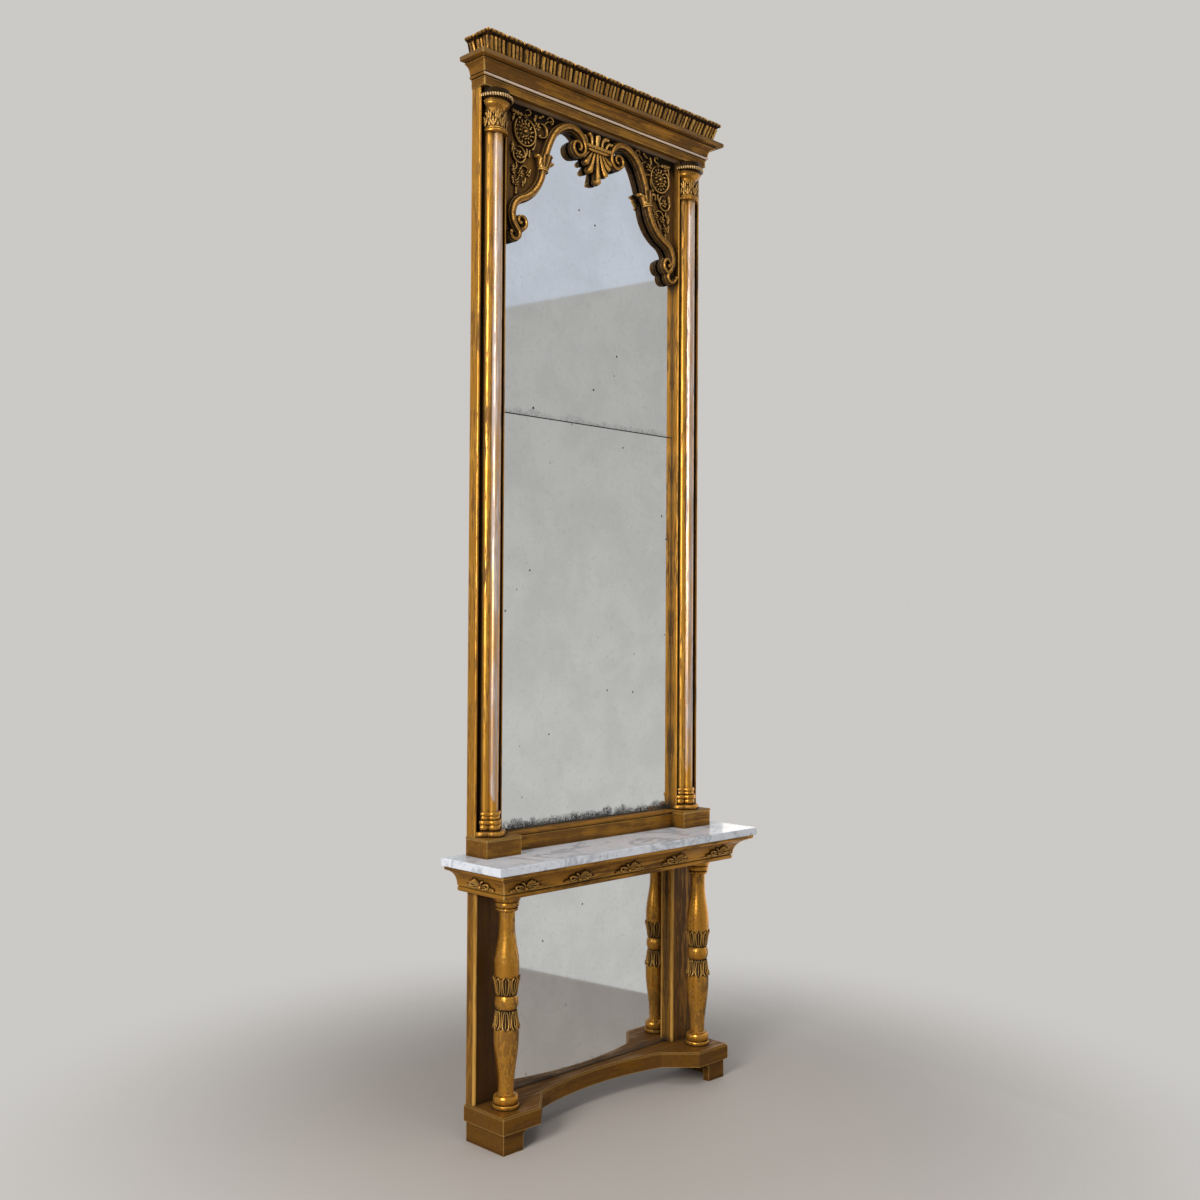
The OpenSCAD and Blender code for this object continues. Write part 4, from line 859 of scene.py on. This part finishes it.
def makeCuff(side, sign):
    carving, look = Carving(), cuffLook
    for foot, high, radius in look["rings"]:
        line = [Vector((across, foot + high / 2)) for across in range(-30, 31, 2)]
        carving.stroke(line, rounded(31, (0, high / 2), (1, high / 2), end=0.04), [3.4] * 31,
                       cuffRound(sign, 90), radius - 3)
    for turn, length, half, curl in look["leaves"]:
        roundLeaf(carving, cuffRound(sign, turn, look["lift"]), length, half, curl, look)
    flat, horn = cuffPlace(sign), look["horn"]
    base, tall = horn["base"], horn["height"]
    for way in (-1, 1):
        foot = (way * horn["foot"][0], horn["foot"][1])
        line = scroll(foot, 90 - way * horn["lean"], horn["length"], [way * bend for bend in horn["bends"]])
        carving.rib(line, horn["halves"], [(0, tall), (1, tall)], flat, base, ends=(0.12, 0.1))
        carving.dome(line[-2], horn["knob"], tall + 2, flat, base - 1)
    carving.finish(f"leafCuff_{side}", "gildCarved", f"leaf_cuff_{side}")


for side, sign in sides:
    makeArch(side, sign)
    makeCuff(side, sign)
print("arch carved")


# the tie bar is a twisted rod over a plain one, each with a radius and a height under the head, on a plate
centreLook = {"tieHalf": 63, "twistedR": 5.6, "twistedY": -57.5, "plainR": 4.2, "plainY": -68.5, "tieD": 21.5,
              "strands": 3, "twists": 9, "strandDepth": 0.16, "plateY": -62, "plateHalf": 8, "plateD": 14.8,
              "plate": 6, "plumeY": -64, "shellY": -67}


def rod(carving, y, radius, strands, depth, count):
    # a bar along X, its strands wound round it
    put, look = headPut(1), centreLook

    def place(u, v):
        angle = 2 * math.pi * u
        swell = 1 + depth * math.cos(strands * angle - 2 * math.pi * look["twists"] * v)
        reach = 0 if v in (0, 1) else radius * swell
        return put(look["tieHalf"] * (2 * v - 1), y + reach * math.cos(angle),
                   look["tieD"] + reach * math.sin(angle))
    carving.patch(18, count, place)


def makeTieBar():
    look, carving = centreLook, Carving()
    half, wide = look["tieHalf"], look["plateHalf"]
    rod(carving, look["twistedY"], look["twistedR"], look["strands"], look["strandDepth"], 96)
    rod(carving, look["plainY"], look["plainR"], 1, 0, 4)
    line = [Vector((x, look["plateY"])) for x in (-half, -half, 0, half, half)]
    carving.stroke(line, [0, wide, wide, wide, 0], [look["plate"]] * 5, headPut(1), look["plateD"],
                   [(1, 0), (1, 1), (-1, 1), (-1, 0)])
    carving.finish("tieBar", "gildArch", "tie_bar")


# plumes above the bar: root, lean, length, half width, bend, hook of the tip, relief
plumes = [(0, 0, 50, 10.5, 0, 0, 27), (22, 0, 57, 6.8, 4, 125, 25), (40, 10, 46, 6.2, 10, 105, 22)]
# ribs of the shell: root, lean, length, half width, bend, relief
lobes = [(0, 0, 108, 9.0, 0, 29), (10, 15, 82, 9.2, 20, 27), (20, 29, 62, 8.6, 20, 25),
         (30, 46, 46, 8.0, 20, 22)]


def makePalmette():
    carving, put = Carving(), headPut(1)
    for root, lean, length, half, bend, hook, relief in plumes:
        for sign in ((1, -1) if root else (1,)):
            line = scroll((sign * root, centreLook["plumeY"]), 90 - sign * lean, length,
                          [-sign * bend, 0, 0, -sign * hook])
            count = len(line)
            heights = rounded(count, (0, relief * 0.75), (0.6, relief * 0.85), (0.9, relief), (1, relief),
                              end=0.06)
            halves = rounded(count, (0, half * 0.55), (0.7, half * 0.9), (1, half * 1.1), end=0.1)
            carving.stroke(line, halves, heights, put, 0, ribSection)
            # a darker line down each plume, painted shade for its crease
            crease = [spot + Vector((sign * half * 0.1, 0)) for spot in line]
            carving.stroke(crease, rounded(count, (0, half * 0.2), (1, half * 0.3), end=0.2),
                           [height * 1.07 for height in heights], put, 0, roundSection, 0.25)
            if root:
                carving.dome(line[-1], half * 0.85, 7, put, relief - 4)
    carving.finish("palmette", "gildCarved", "palmette")


def makeShell():
    # ribs fan out under the bar, each on a broader lower layer, and the middle one ends in two knobs
    carving, put = Carving(), headPut(1)
    for root, lean, length, half, bend, relief in lobes:
        for sign in ((1, -1) if root else (1,)):
            line = scroll((sign * root, centreLook["shellY"]), -90 + sign * lean, length,
                          [0, sign * bend], 24)
            halves = rounded(len(line), (0, half * 0.8), (0.6, half * 1.2), (1, half * 1.3), end=0.14)
            carving.stroke(line, halves, [relief * 0.46] * len(line), put, 0, backSection, 0.6)
            carving.rib(line, [(0, half * 0.5), (0.5, half * 0.68), (0.8, half), (1, half * 1.2)],
                        [(0, relief * 0.7), (0.6, relief * 0.82), (0.9, relief), (1, relief)],
                        put, 0, ribSection, ends=(0.12, 0.06))
            for edge in (() if root else (-1, 1)):
                carving.dome((edge * half * 0.55, line[-3].y - 1), half * 0.9, relief, put)
    carving.finish("shellPendant", "gildArch", "shell_pendant")


makeTieBar()
makePalmette()
makeShell()
print("centre of the arch carved")


# in millimetres, with places from the middle of the head
rosette = {"at": (308, -81), "r": 37, "rim": 4, "ring": 44, "petals": 15, "bead": 22.5, "beadR": 4.4,
           "beads": 12, "beadRelief": 16, "hubR": 7.5, "hubRelief": 18,
           "outer": (27, 38, 4.4, 10), "inner": (8, 17, 2.6, 13)}    # petals: from, to, half width, relief
boss = ((274, -127), 6, 13)
# flowers: place, radius, petals, relief
flowers = [((256, -51), 14, 6, 14), ((332, -157), 14, 6, 14), ((324, -214), 12, 6, 13),
           ((292, -206), 11, 6, 12), ((341, -247), 10, 5, 12), ((303, -31), 8, 5, 11)]
# fronds: root, heading, length, bends, half width, relief, lobes
fronds = [
    ((314, -31), 6, 50, (-30, 50), 11, 12, 4),
    ((357, -60), 95, 28, (20, 0), 8, 11, 2),
    ((266, -40), 78, 26, (60, 0), 8, 12, 2),
    ((252, -22), 170, 30, (-40, 0), 7, 10, 2),
    ((356, -122), -80, 34, (-40, 60), 9, 11, 2),
    ((284, -130), -62, 28, (-40, 0), 8, 10, 2),
    ((352, -190), -70, 36, (-60, 20), 9, 11, 3),
    ((302, -220), -80, 26, (20, 0), 7, 10, 2),
    ((356, -226), -85, 30, (-30, 0), 7, 10, 2),
    ((341, -257), -92, 26, (10, 0), 7, 9, 2),
    ((280, -190), -40, 20, (-60, 0), 6, 10, 2),
    ((314, -232), -100, 22, (30, 0), 6, 9, 2),
]
# scrolls: line, half width, relief
scrolls = [
    (ringArc(rosette["at"], rosette["ring"], 100, 415, 36), 4.4, 14),
    (ringArc((238, -60), 22, 75, 300, 20), 4.2, 14),
    (scroll((262, -84), -86, 42, (0, 30), 12), 3.4, 11),
    (ringArc((332, -157), 25, 70, 385, 24), 3.8, 13),
    (scroll((301, -128), -105, 42, (30, 70), 12), 4.6, 12),
    (ringArc((293, -17), 9, 10, 270, 14), 2.8, 10),
    (ringArc((200, -18), 11, 0, 235, 14), 3.4, 11),
    (scroll((226, -40), 115, 34, (60, 0), 12), 3.0, 10),
    (scroll((344, -180), -120, 38, (80, 40), 12), 3.2, 11),
    (ringArc((308, -208), 20, 150, 20, 14), 3.2, 11),
    (scroll((330, -224), -70, 24, (30, 30), 10), 2.8, 10),
]


def makeSpray(side, sign):
    carving, put, look = Carving(), headPut(sign), rosette
    at, petals, beads = look["at"], look["petals"], look["beads"]
    carving.dome(at, look["r"], look["rim"], put)
    carving.petals(at, petals, *look["outer"], put)
    for k in range(beads):
        spot = Vector(at) + ray(360 * k / beads) * look["bead"]
        carving.dome(spot, look["beadR"], look["beadRelief"], put)
    carving.petals(at, petals, *look["inner"], put, 180 / petals)
    carving.dome(at, look["hubR"], look["hubRelief"], put)
    for place, radius, count, relief in flowers:
        carving.petals(place, count, radius * 0.2, radius, radius * 0.36, relief * 0.8, put)
        carving.dome(place, radius * 0.3, relief, put)
    for line, half, relief in scrolls:
        carving.rib(line, [(0, half * 0.5), (0.5, half), (0.85, half * 0.7), (1, half)],
                    [(0, relief * 0.8), (1, relief)], put)
        carving.dome(line[-1], half * 1.25, relief * 1.15, put)
    for root, heading, length, bends, half, relief, count in fronds:
        carving.frond(scroll(root, heading, length, bends), half, relief, put, count)
    carving.dome(*boss, put)
    carving.finish(f"spandrelSpray_{side}", "gildSpray", f"spandrel_ornament_{side}")


for side, sign in sides:
    makeSpray(side, sign)
print("spandrels carved")


# in millimetres; a petal is (lean in degrees, length, half width)
apronLook = {"pitch": 217, "coveR": 50, "coveUp": 17, "sideDepth": 86, "foot": 4, "relief": 10,
             "petals": ((0, 39, 5), (22, 38, 4.4), (46, 36, 4.2), (70, 31, 4))}
coveLow, coveHigh = corners("apron_front")


def covePut(place):
    # bends a flat motif into the cove; place turns (along, outward, up) into a point
    look, radius = apronLook, apronLook["coveR"]

    def put(x, y, d):
        angle = math.pi - (y + look["foot"]) / radius
        return place(x, (radius - d) * math.cos(angle),
                     coveLow.z + look["coveUp"] + (radius - d) * math.sin(angle))
    return put


def coveMotif(carving, put):
    relief = apronLook["relief"]
    # a thin dark patch under the motif: painted shade on the cove round it
    shadowPatch = [Vector((0, y)) for y in range(2, 36, 3)]
    carving.stroke(shadowPatch, rounded(12, (0, 21), (1, 15), end=0.3), [1.2] * 12, put, 0, roundSection, 0.45)
    for lean, length, half in apronLook["petals"]:
        for sign in ((1, -1) if lean else (1,)):
            line = scroll((sign * lean * 0.1, 6), 90 - sign * lean, length, [-sign * 15, 0, -sign * 60], 12)
            carving.rib(line, [(0, half * 0.35), (0.75, half), (1, half)],
                        [(0, relief * 0.5), (0.8, relief), (1, relief)], put, ends=(0.2, 0.15))
    carving.dome((0, 6), 7, relief * 1.1, put)
    for sign in (-1, 1):
        line = scroll((sign * 9, 3), 90 - sign * 95, 60, [sign * 20, 0, sign * 300], 26)
        carving.rib(line, [(0, 3), (0.6, 4.2), (1, 3.2)], [(0, relief * 0.7), (1, relief)], put,
                    ends=(0.05, 0.05))
        tip = scroll((sign * 40, 4), 90 - sign * 70, 25, [sign * 20, -sign * 110], 12)
        carving.frond(tip, 7, relief * 0.9, put, 2)


def makeApronPalmettes():
    look, carving = apronLook, Carving()
    for k in range(-2, 3):
        coveMotif(carving, covePut(lambda x, out, up: Vector((k * look["pitch"] + x, coveLow.y - out, up))))
    carving.finish("apronPalmettes", "gildCarved", "apron_ornaments")
    middle = backY - look["sideDepth"]
    for side, sign in sides:
        carving = Carving()
        coveMotif(carving, covePut(lambda x, out, up: Vector((sign * (coveHigh.x + out), middle + x, up))))
        carving.finish(f"apronPalmette_{side}", "gildCarved", f"apron_ornament_{side}")


makeApronPalmettes()
print("apron palmettes carved")


def sweep(carving, section, run, half, front, back):
    # a section (outward, up) along the front, or along one side, with mitred corners
    def place(u, v):
        out, up = section[round(u * len(section)) % len(section)]
        if run == "front":
            return Vector(((half + out) * (2 * v - 1), front - out, up))
        sign = -1 if run == "left" else 1
        return Vector((sign * (half + out), back + (front - out - back) * v, up))
    carving.patch(len(section), 1, place)
    bmesh.ops.remove_doubles(carving.mesh, verts=carving.mesh.verts, dist=0.02)
    bmesh.ops.holes_fill(carving.mesh, edges=carving.mesh.edges)


# a section is (outward, up) in millimetres, from the lowest band's face and the cornice's foot
corniceLook = {"wall": 22, "band": 24, "beadR": 4.2, "beadAt": (4.6, 31.5), "caveFoot": (6.5, 38.5),
               "caveTop": (30, 66.5), "soffit": 71, "out": 46, "height": 85, "round": 2.5}


def corniceSection():
    look = corniceLook
    band, wall, soffit, out, top = (look[key] for key in ("band", "wall", "soffit", "out", "height"))
    (caveOut, caveUp), (endOut, endUp), radius = look["caveFoot"], look["caveTop"], look["round"]
    cave = [(endOut - (endOut - caveOut) * math.cos(math.radians(a)),
             caveUp + (endUp - caveUp) * math.sin(math.radians(a))) for a in range(0, 76, 5)]
    lipOut, lipUp = cave[-1]
    section = [(-wall, 0), (0, 0), (0, band - 1.5), (2, band - 1.5), (2, band + 1.2), (0.4, band + 2.4)]
    section += ringArc(look["beadAt"], look["beadR"], -120, 120, 10)
    section += [(1.2, look["beadAt"][1] + 4.8), (caveOut - 2, caveUp - 1), *cave, (lipOut + 3, lipUp + 0.6),
                (lipOut + 3, soffit - 2), (lipOut, soffit), (out - radius, soffit)]
    section += ringArc((out - radius, soffit + radius), radius, -90, 0, 4)
    section += ringArc((out - radius, top - radius), radius, 0, 90, 4)
    return section + [(-wall, top)]


def makeCornice(run):
    carving, out = Carving(), corniceLook["out"]
    low, high = corners("cornice_front")
    section = [(across, up + low.z) for across, up in corniceSection()]
    sweep(carving, section, run, high.x - out, low.y + out, backY)
    finish = "gildCornice" if run == "front" else "gildCorniceDeep"
    carving.finish(f"corniceMoulding_{run}", finish, f"cornice_{run}")


# in millimetres: the flutes of a group, and over them a roll of bars and beads
crestLook = {"groups": 15, "sideGroups": 1.6, "flutes": (17, 12.5, 13, 13), "slot": 5, "groove": 2.0,
             "foot": 1, "fluteTop": 48.5, "relief": 6, "inset": 5, "lean": 16.5, "thick": 15,
             "rollR": 5.9, "barShare": 0.75, "beadR": 4.4, "bumps": 3, "bump": 0.13}


def crestPut(run, low, high):
    look = crestLook
    flare = look["lean"] + look["rollR"]
    half, front = high.x - flare, low.y + flare
    depth, tall = backY - front, high.z - low.z

    def put(x, y, d):
        lean = look["lean"] * y / (tall - look["rollR"])
        if run == "front":
            return Vector((x * (half + lean) / half, front - lean - d, low.z + y))
        sign = -1 if run == "left" else 1
        return Vector((sign * (half + lean + d), backY - x * (depth + lean) / depth, low.z + y))
    return put, half, depth, front


def makeCrestBoard(run, foot, half, front, rollY):
    look = crestLook
    board, inset, thick, lean = Carving(), look["inset"], look["thick"], look["lean"]
    section = [(-thick, 0), (-inset, 0), (lean * (rollY - 8) / rollY - inset - 1, rollY - 8),
               (lean - 3, rollY - 3), (lean - 1, rollY + 4), (18 - thick, rollY + 4)]
    sweep(board, [(across, up + foot) for across, up in section], run, half, front, backY)
    board.finish(f"crestBoard_{run}", "gildShadow", f"crest_{run}")


def makeCrest(run):
    look = crestLook
    low, high = corners("crest_front")
    put, half, depth, front = crestPut(run, low, high)
    rollY = high.z - low.z - look["rollR"]
    makeCrestBoard(run, low.z, half, front, rollY)
    if run == "front":
        start, length, groups, first = -half, 2 * half, look["groups"], 0
    else:
        start, length, groups, first = 0, depth, look["sideGroups"], look["sideGroups"] % 1
    pitch = length / groups
    share = pitch / (sum(look["flutes"]) + look["slot"])
    barHalf = pitch * look["barShare"] / 2
    carving = Carving()
    for g in range(-1, math.ceil(groups)):
        x = start + (g + first) * pitch + look["slot"] * share / 2
        for k, width in enumerate(look["flutes"]):
            wide = width * share
            x += wide
            if x - wide >= start and x <= start + length:
                makeFlute(carving, put, x - wide / 2, wide, g, k)
        bar = start + (g + 0.5 + first) * pitch
        for middle, reach, bumps in ((bar, barHalf, look["bumps"]), (bar + pitch / 2, look["beadR"], 0)):
            near, far = max(middle - reach, start), min(middle + reach, start + length)
            if far - near >= 3:
                rollBar(carving, put, near, far, bumps, look["rollR"], rollY)
    carving.finish(f"crestCarving_{run}", "gildCrest")


def makeFlute(carving, put, centre, wide, group, flute):
    # hand-cut: each one wavers a little, and differs in relief and tone
    look, half = crestLook, (wide - crestLook["groove"]) / 2
    tall = look["fluteTop"] - look["foot"]
    line = [Vector((centre + 0.2 * math.sin(1.3 * i + flute), look["foot"] + tall * i / 8)) for i in range(9)]
    relief = look["relief"] * (1 + 0.12 * math.sin(7 * group + 3 * flute))
    tone = 0.86 + 0.14 * math.sin(5 * group + 2.3 * flute)
    carving.rib(line, [(0, half), (1, half)], [(0, relief * 0.9), (0.5, relief * 0.8), (1, relief * 1.1)],
                put, -look["inset"], roundSection, tone, (0.1, 0.08))


def rollBar(carving, put, first, last, bumps, radius, height):
    # a bar of the roll with bumps along it, or a bead
    steps = 6 * bumps + 4 if bumps else 8

    def place(u, v):
        angle = 2 * math.pi * u
        end = min(v, 1 - v) * (last - first)
        if bumps:
            swell = 1 - crestLook["bump"] * (1 - abs(math.sin(math.pi * bumps * v)))
            swell *= math.sqrt(max(0, 1 - (1 - min(end / 2.5, 1)) ** 2))
        else:
            swell = math.sqrt(max(0, 1 - (2 * v - 1) ** 2)) ** 0.8
        return put(first + (last - first) * v, height + radius * swell * math.sin(angle),
                   radius * swell * math.cos(angle) * (1 - 0.25 * max(0, math.sin(angle))))

    # painted shade: the bar is darker away from its front and between its bumps
    def shade(u, v):
        bump = abs(math.sin(math.pi * bumps * v)) if bumps else 1
        return 0.35 + 0.65 * bump * max(0, math.cos(2 * math.pi * u - 0.5))
    carving.patch(12, steps, place, shade)


for run in ("front", "left", "right"):
    makeCornice(run)
    makeCrest(run)
print("cornice and crest carved")


stageLook = {"floor": (0.42, 0.38, 0.345), "wall": (0.60, 0.585, 0.565), "size": 6.0, "near": 0.6, "far": 2.1}


def makeFloor():
    # plain ground under the feet, which fades into the background colour
    mesh = bmesh.new()
    bmesh.ops.create_grid(mesh, x_segments=1, y_segments=1, size=stageLook["size"])
    floor = addObject("floor", mesh)
    g = Graph("plainFloor")
    where = g.node("ShaderNodeTexCoord", output="Object")
    reach = g.node("ShaderNodeVectorMath", {"operation": "LENGTH"}, {0: where}, "Value")
    seen = g.node("ShaderNodeLightPath", output="Is Camera Ray")
    alpha = 1 - seen * g.step(reach, stageLook["near"], stageLook["far"])
    floor.data.materials.append(g.finish(colour=stageLook["floor"], rough=0.7, alpha=alpha))


# plain glowing cards that are seen only in the mirrors: a pale low one, a high one and a bright patch
roomLook = {"from": (1.27, 0.9), "to": (0.50, -4.4), "turn": 2.97, "top": 7.0,
            "low": (0.64, 0.635, 0.62), "lowTop": (0.512, 0.508, 0.496), "high": (0.64, 0.69, 0.77),
            "sunFrom": (1.16, 0.5), "sunTo": (1.05, -0.5), "sunLow": 0.3, "sunTop": 3.2,
            "sun": (1.5, 1.42, 1.35)}


def makeCard(name, low, high, first, last, colour, topColour=None):
    mesh = bmesh.new()
    made = bmesh.ops.create_grid(mesh, x_segments=1, y_segments=1, size=0.5)
    for vert in made["verts"]:
        x, y = (a + (b - a) * (vert.co.x + 0.5) for a, b in zip(first, last))
        vert.co = (x, y, low + (high - low) * (vert.co.y + 0.5))
    card = addObject(name, mesh)
    g = Graph(name)
    glow = g.mix(g.step(g.axis("Z"), 0.6, 3.0), colour, topColour or colour)
    finish = g.finish(colour=(0, 0, 0), rough=1.0, specular=0.0, glow=glow, glowStrength=1.0)
    card.data.materials.append(finish)
    for light in ("camera", "diffuse", "shadow", "transmission"):
        setattr(card, f"visible_{light}", False)


def makeRoom():
    look = roomLook
    wall = look["from"], look["to"]
    makeCard("roomWall", 0.0, look["turn"], *wall, look["low"], look["lowTop"])
    makeCard("roomHigh", look["turn"], look["top"], *wall, look["high"])
    makeCard("roomSun", look["sunLow"], look["sunTop"], look["sunFrom"], look["sunTo"], look["sun"])


lampLook = {
    "windowLight": {"at": (-4.0, -1.2, 2.6), "to": (0, 0, 1.6), "size": (1.2, 2.4), "power": 165,
                    "colour": (1.0, 0.98, 0.95)},
    "overLight": {"at": (-0.9, -1.2, 5.2), "to": (0, 0, 1.0), "size": (3.0, 3.0), "power": 85,
                  "colour": (0.98, 0.99, 1.0)},
    "frontLight": {"at": (-0.9, -4.6, 2.2), "to": (0, 0, 1.5), "size": (1.6, 2.2), "power": 12,
                   "colour": (1.0, 0.99, 0.97), "mirrored": False},
}


def makeLight(name, look):
    lamp = bpy.data.lights.new(name, "AREA")
    lamp.shape = "RECTANGLE"
    lamp.size, lamp.size_y = look["size"]
    lamp.energy = look["power"]
    lamp.color = look["colour"]
    thing = bpy.data.objects.new(name, lamp)
    thing.location = look["at"]
    thing.rotation_euler = (Vector(look["to"]) - Vector(look["at"])).to_track_quat("-Z", "Y").to_euler()
    thing.visible_glossy = look.get("mirrored", True)
    bpy.context.collection.objects.link(thing)


airLook = {"colour": (0.80, 0.82, 0.86), "strength": 0.32, "mirrored": (0.40, 0.405, 0.41)}


def makeAir():
    # soft light all round, and a plain pale colour behind the object
    world = bpy.data.worlds.new("air")
    world.use_nodes = True
    tree = world.node_tree
    soft = tree.nodes["Background"]
    soft.inputs["Color"].default_value = withAlpha(airLook["colour"])
    soft.inputs["Strength"].default_value = airLook["strength"]
    path = tree.nodes.new("ShaderNodeLightPath")
    shown = soft.outputs[0]
    for kind, colour in (("Is Glossy Ray", airLook["mirrored"]), ("Is Camera Ray", stageLook["wall"])):
        seen = tree.nodes.new("ShaderNodeBackground")
        seen.inputs["Color"].default_value = withAlpha(colour)
        mix = tree.nodes.new("ShaderNodeMixShader")
        tree.links.new(path.outputs[kind], mix.inputs[0])
        tree.links.new(shown, mix.inputs[1])
        tree.links.new(seen.outputs[0], mix.inputs[2])
        shown = mix.outputs[0]
    tree.links.new(shown, tree.nodes["World Output"].inputs["Surface"])
    bpy.context.scene.world = world


# solved from the photograph's straight edges; angles in degrees, focal and sensor in millimetres
cameraLook = {"focal": 39.964, "sensor": 36.0, "yaw": 45.1359, "pitch": 1.1317, "roll": 0.3334,
              "at": (-3.03196, -2.96364, 1.52234)}


def makeCamera():
    look = cameraLook
    yaw, pitch, roll = (math.radians(look[key]) for key in ("yaw", "pitch", "roll"))
    ahead = Vector((math.sin(yaw) * math.cos(pitch), math.cos(yaw) * math.cos(pitch), math.sin(pitch)))
    level = Vector((math.cos(yaw), -math.sin(yaw), 0))
    upright = level.cross(ahead)
    right = level * math.cos(roll) + upright * math.sin(roll)
    up = upright * math.cos(roll) - level * math.sin(roll)
    camera = bpy.data.objects.new("camera", bpy.data.cameras.new("camera"))
    camera.data.lens = look["focal"]
    camera.data.sensor_width = look["sensor"]
    camera.rotation_euler = Matrix((right, up, -ahead)).transposed().to_euler()
    camera.location = look["at"]
    bpy.context.collection.objects.link(camera)
    bpy.context.scene.camera = camera


makeFloor()
makeAir()
makeRoom()
for lampName, look in lampLook.items():
    makeLight(lampName, look)
makeCamera()
bpy.context.scene.view_settings.view_transform = "Standard"
print("stage, light and camera ready")
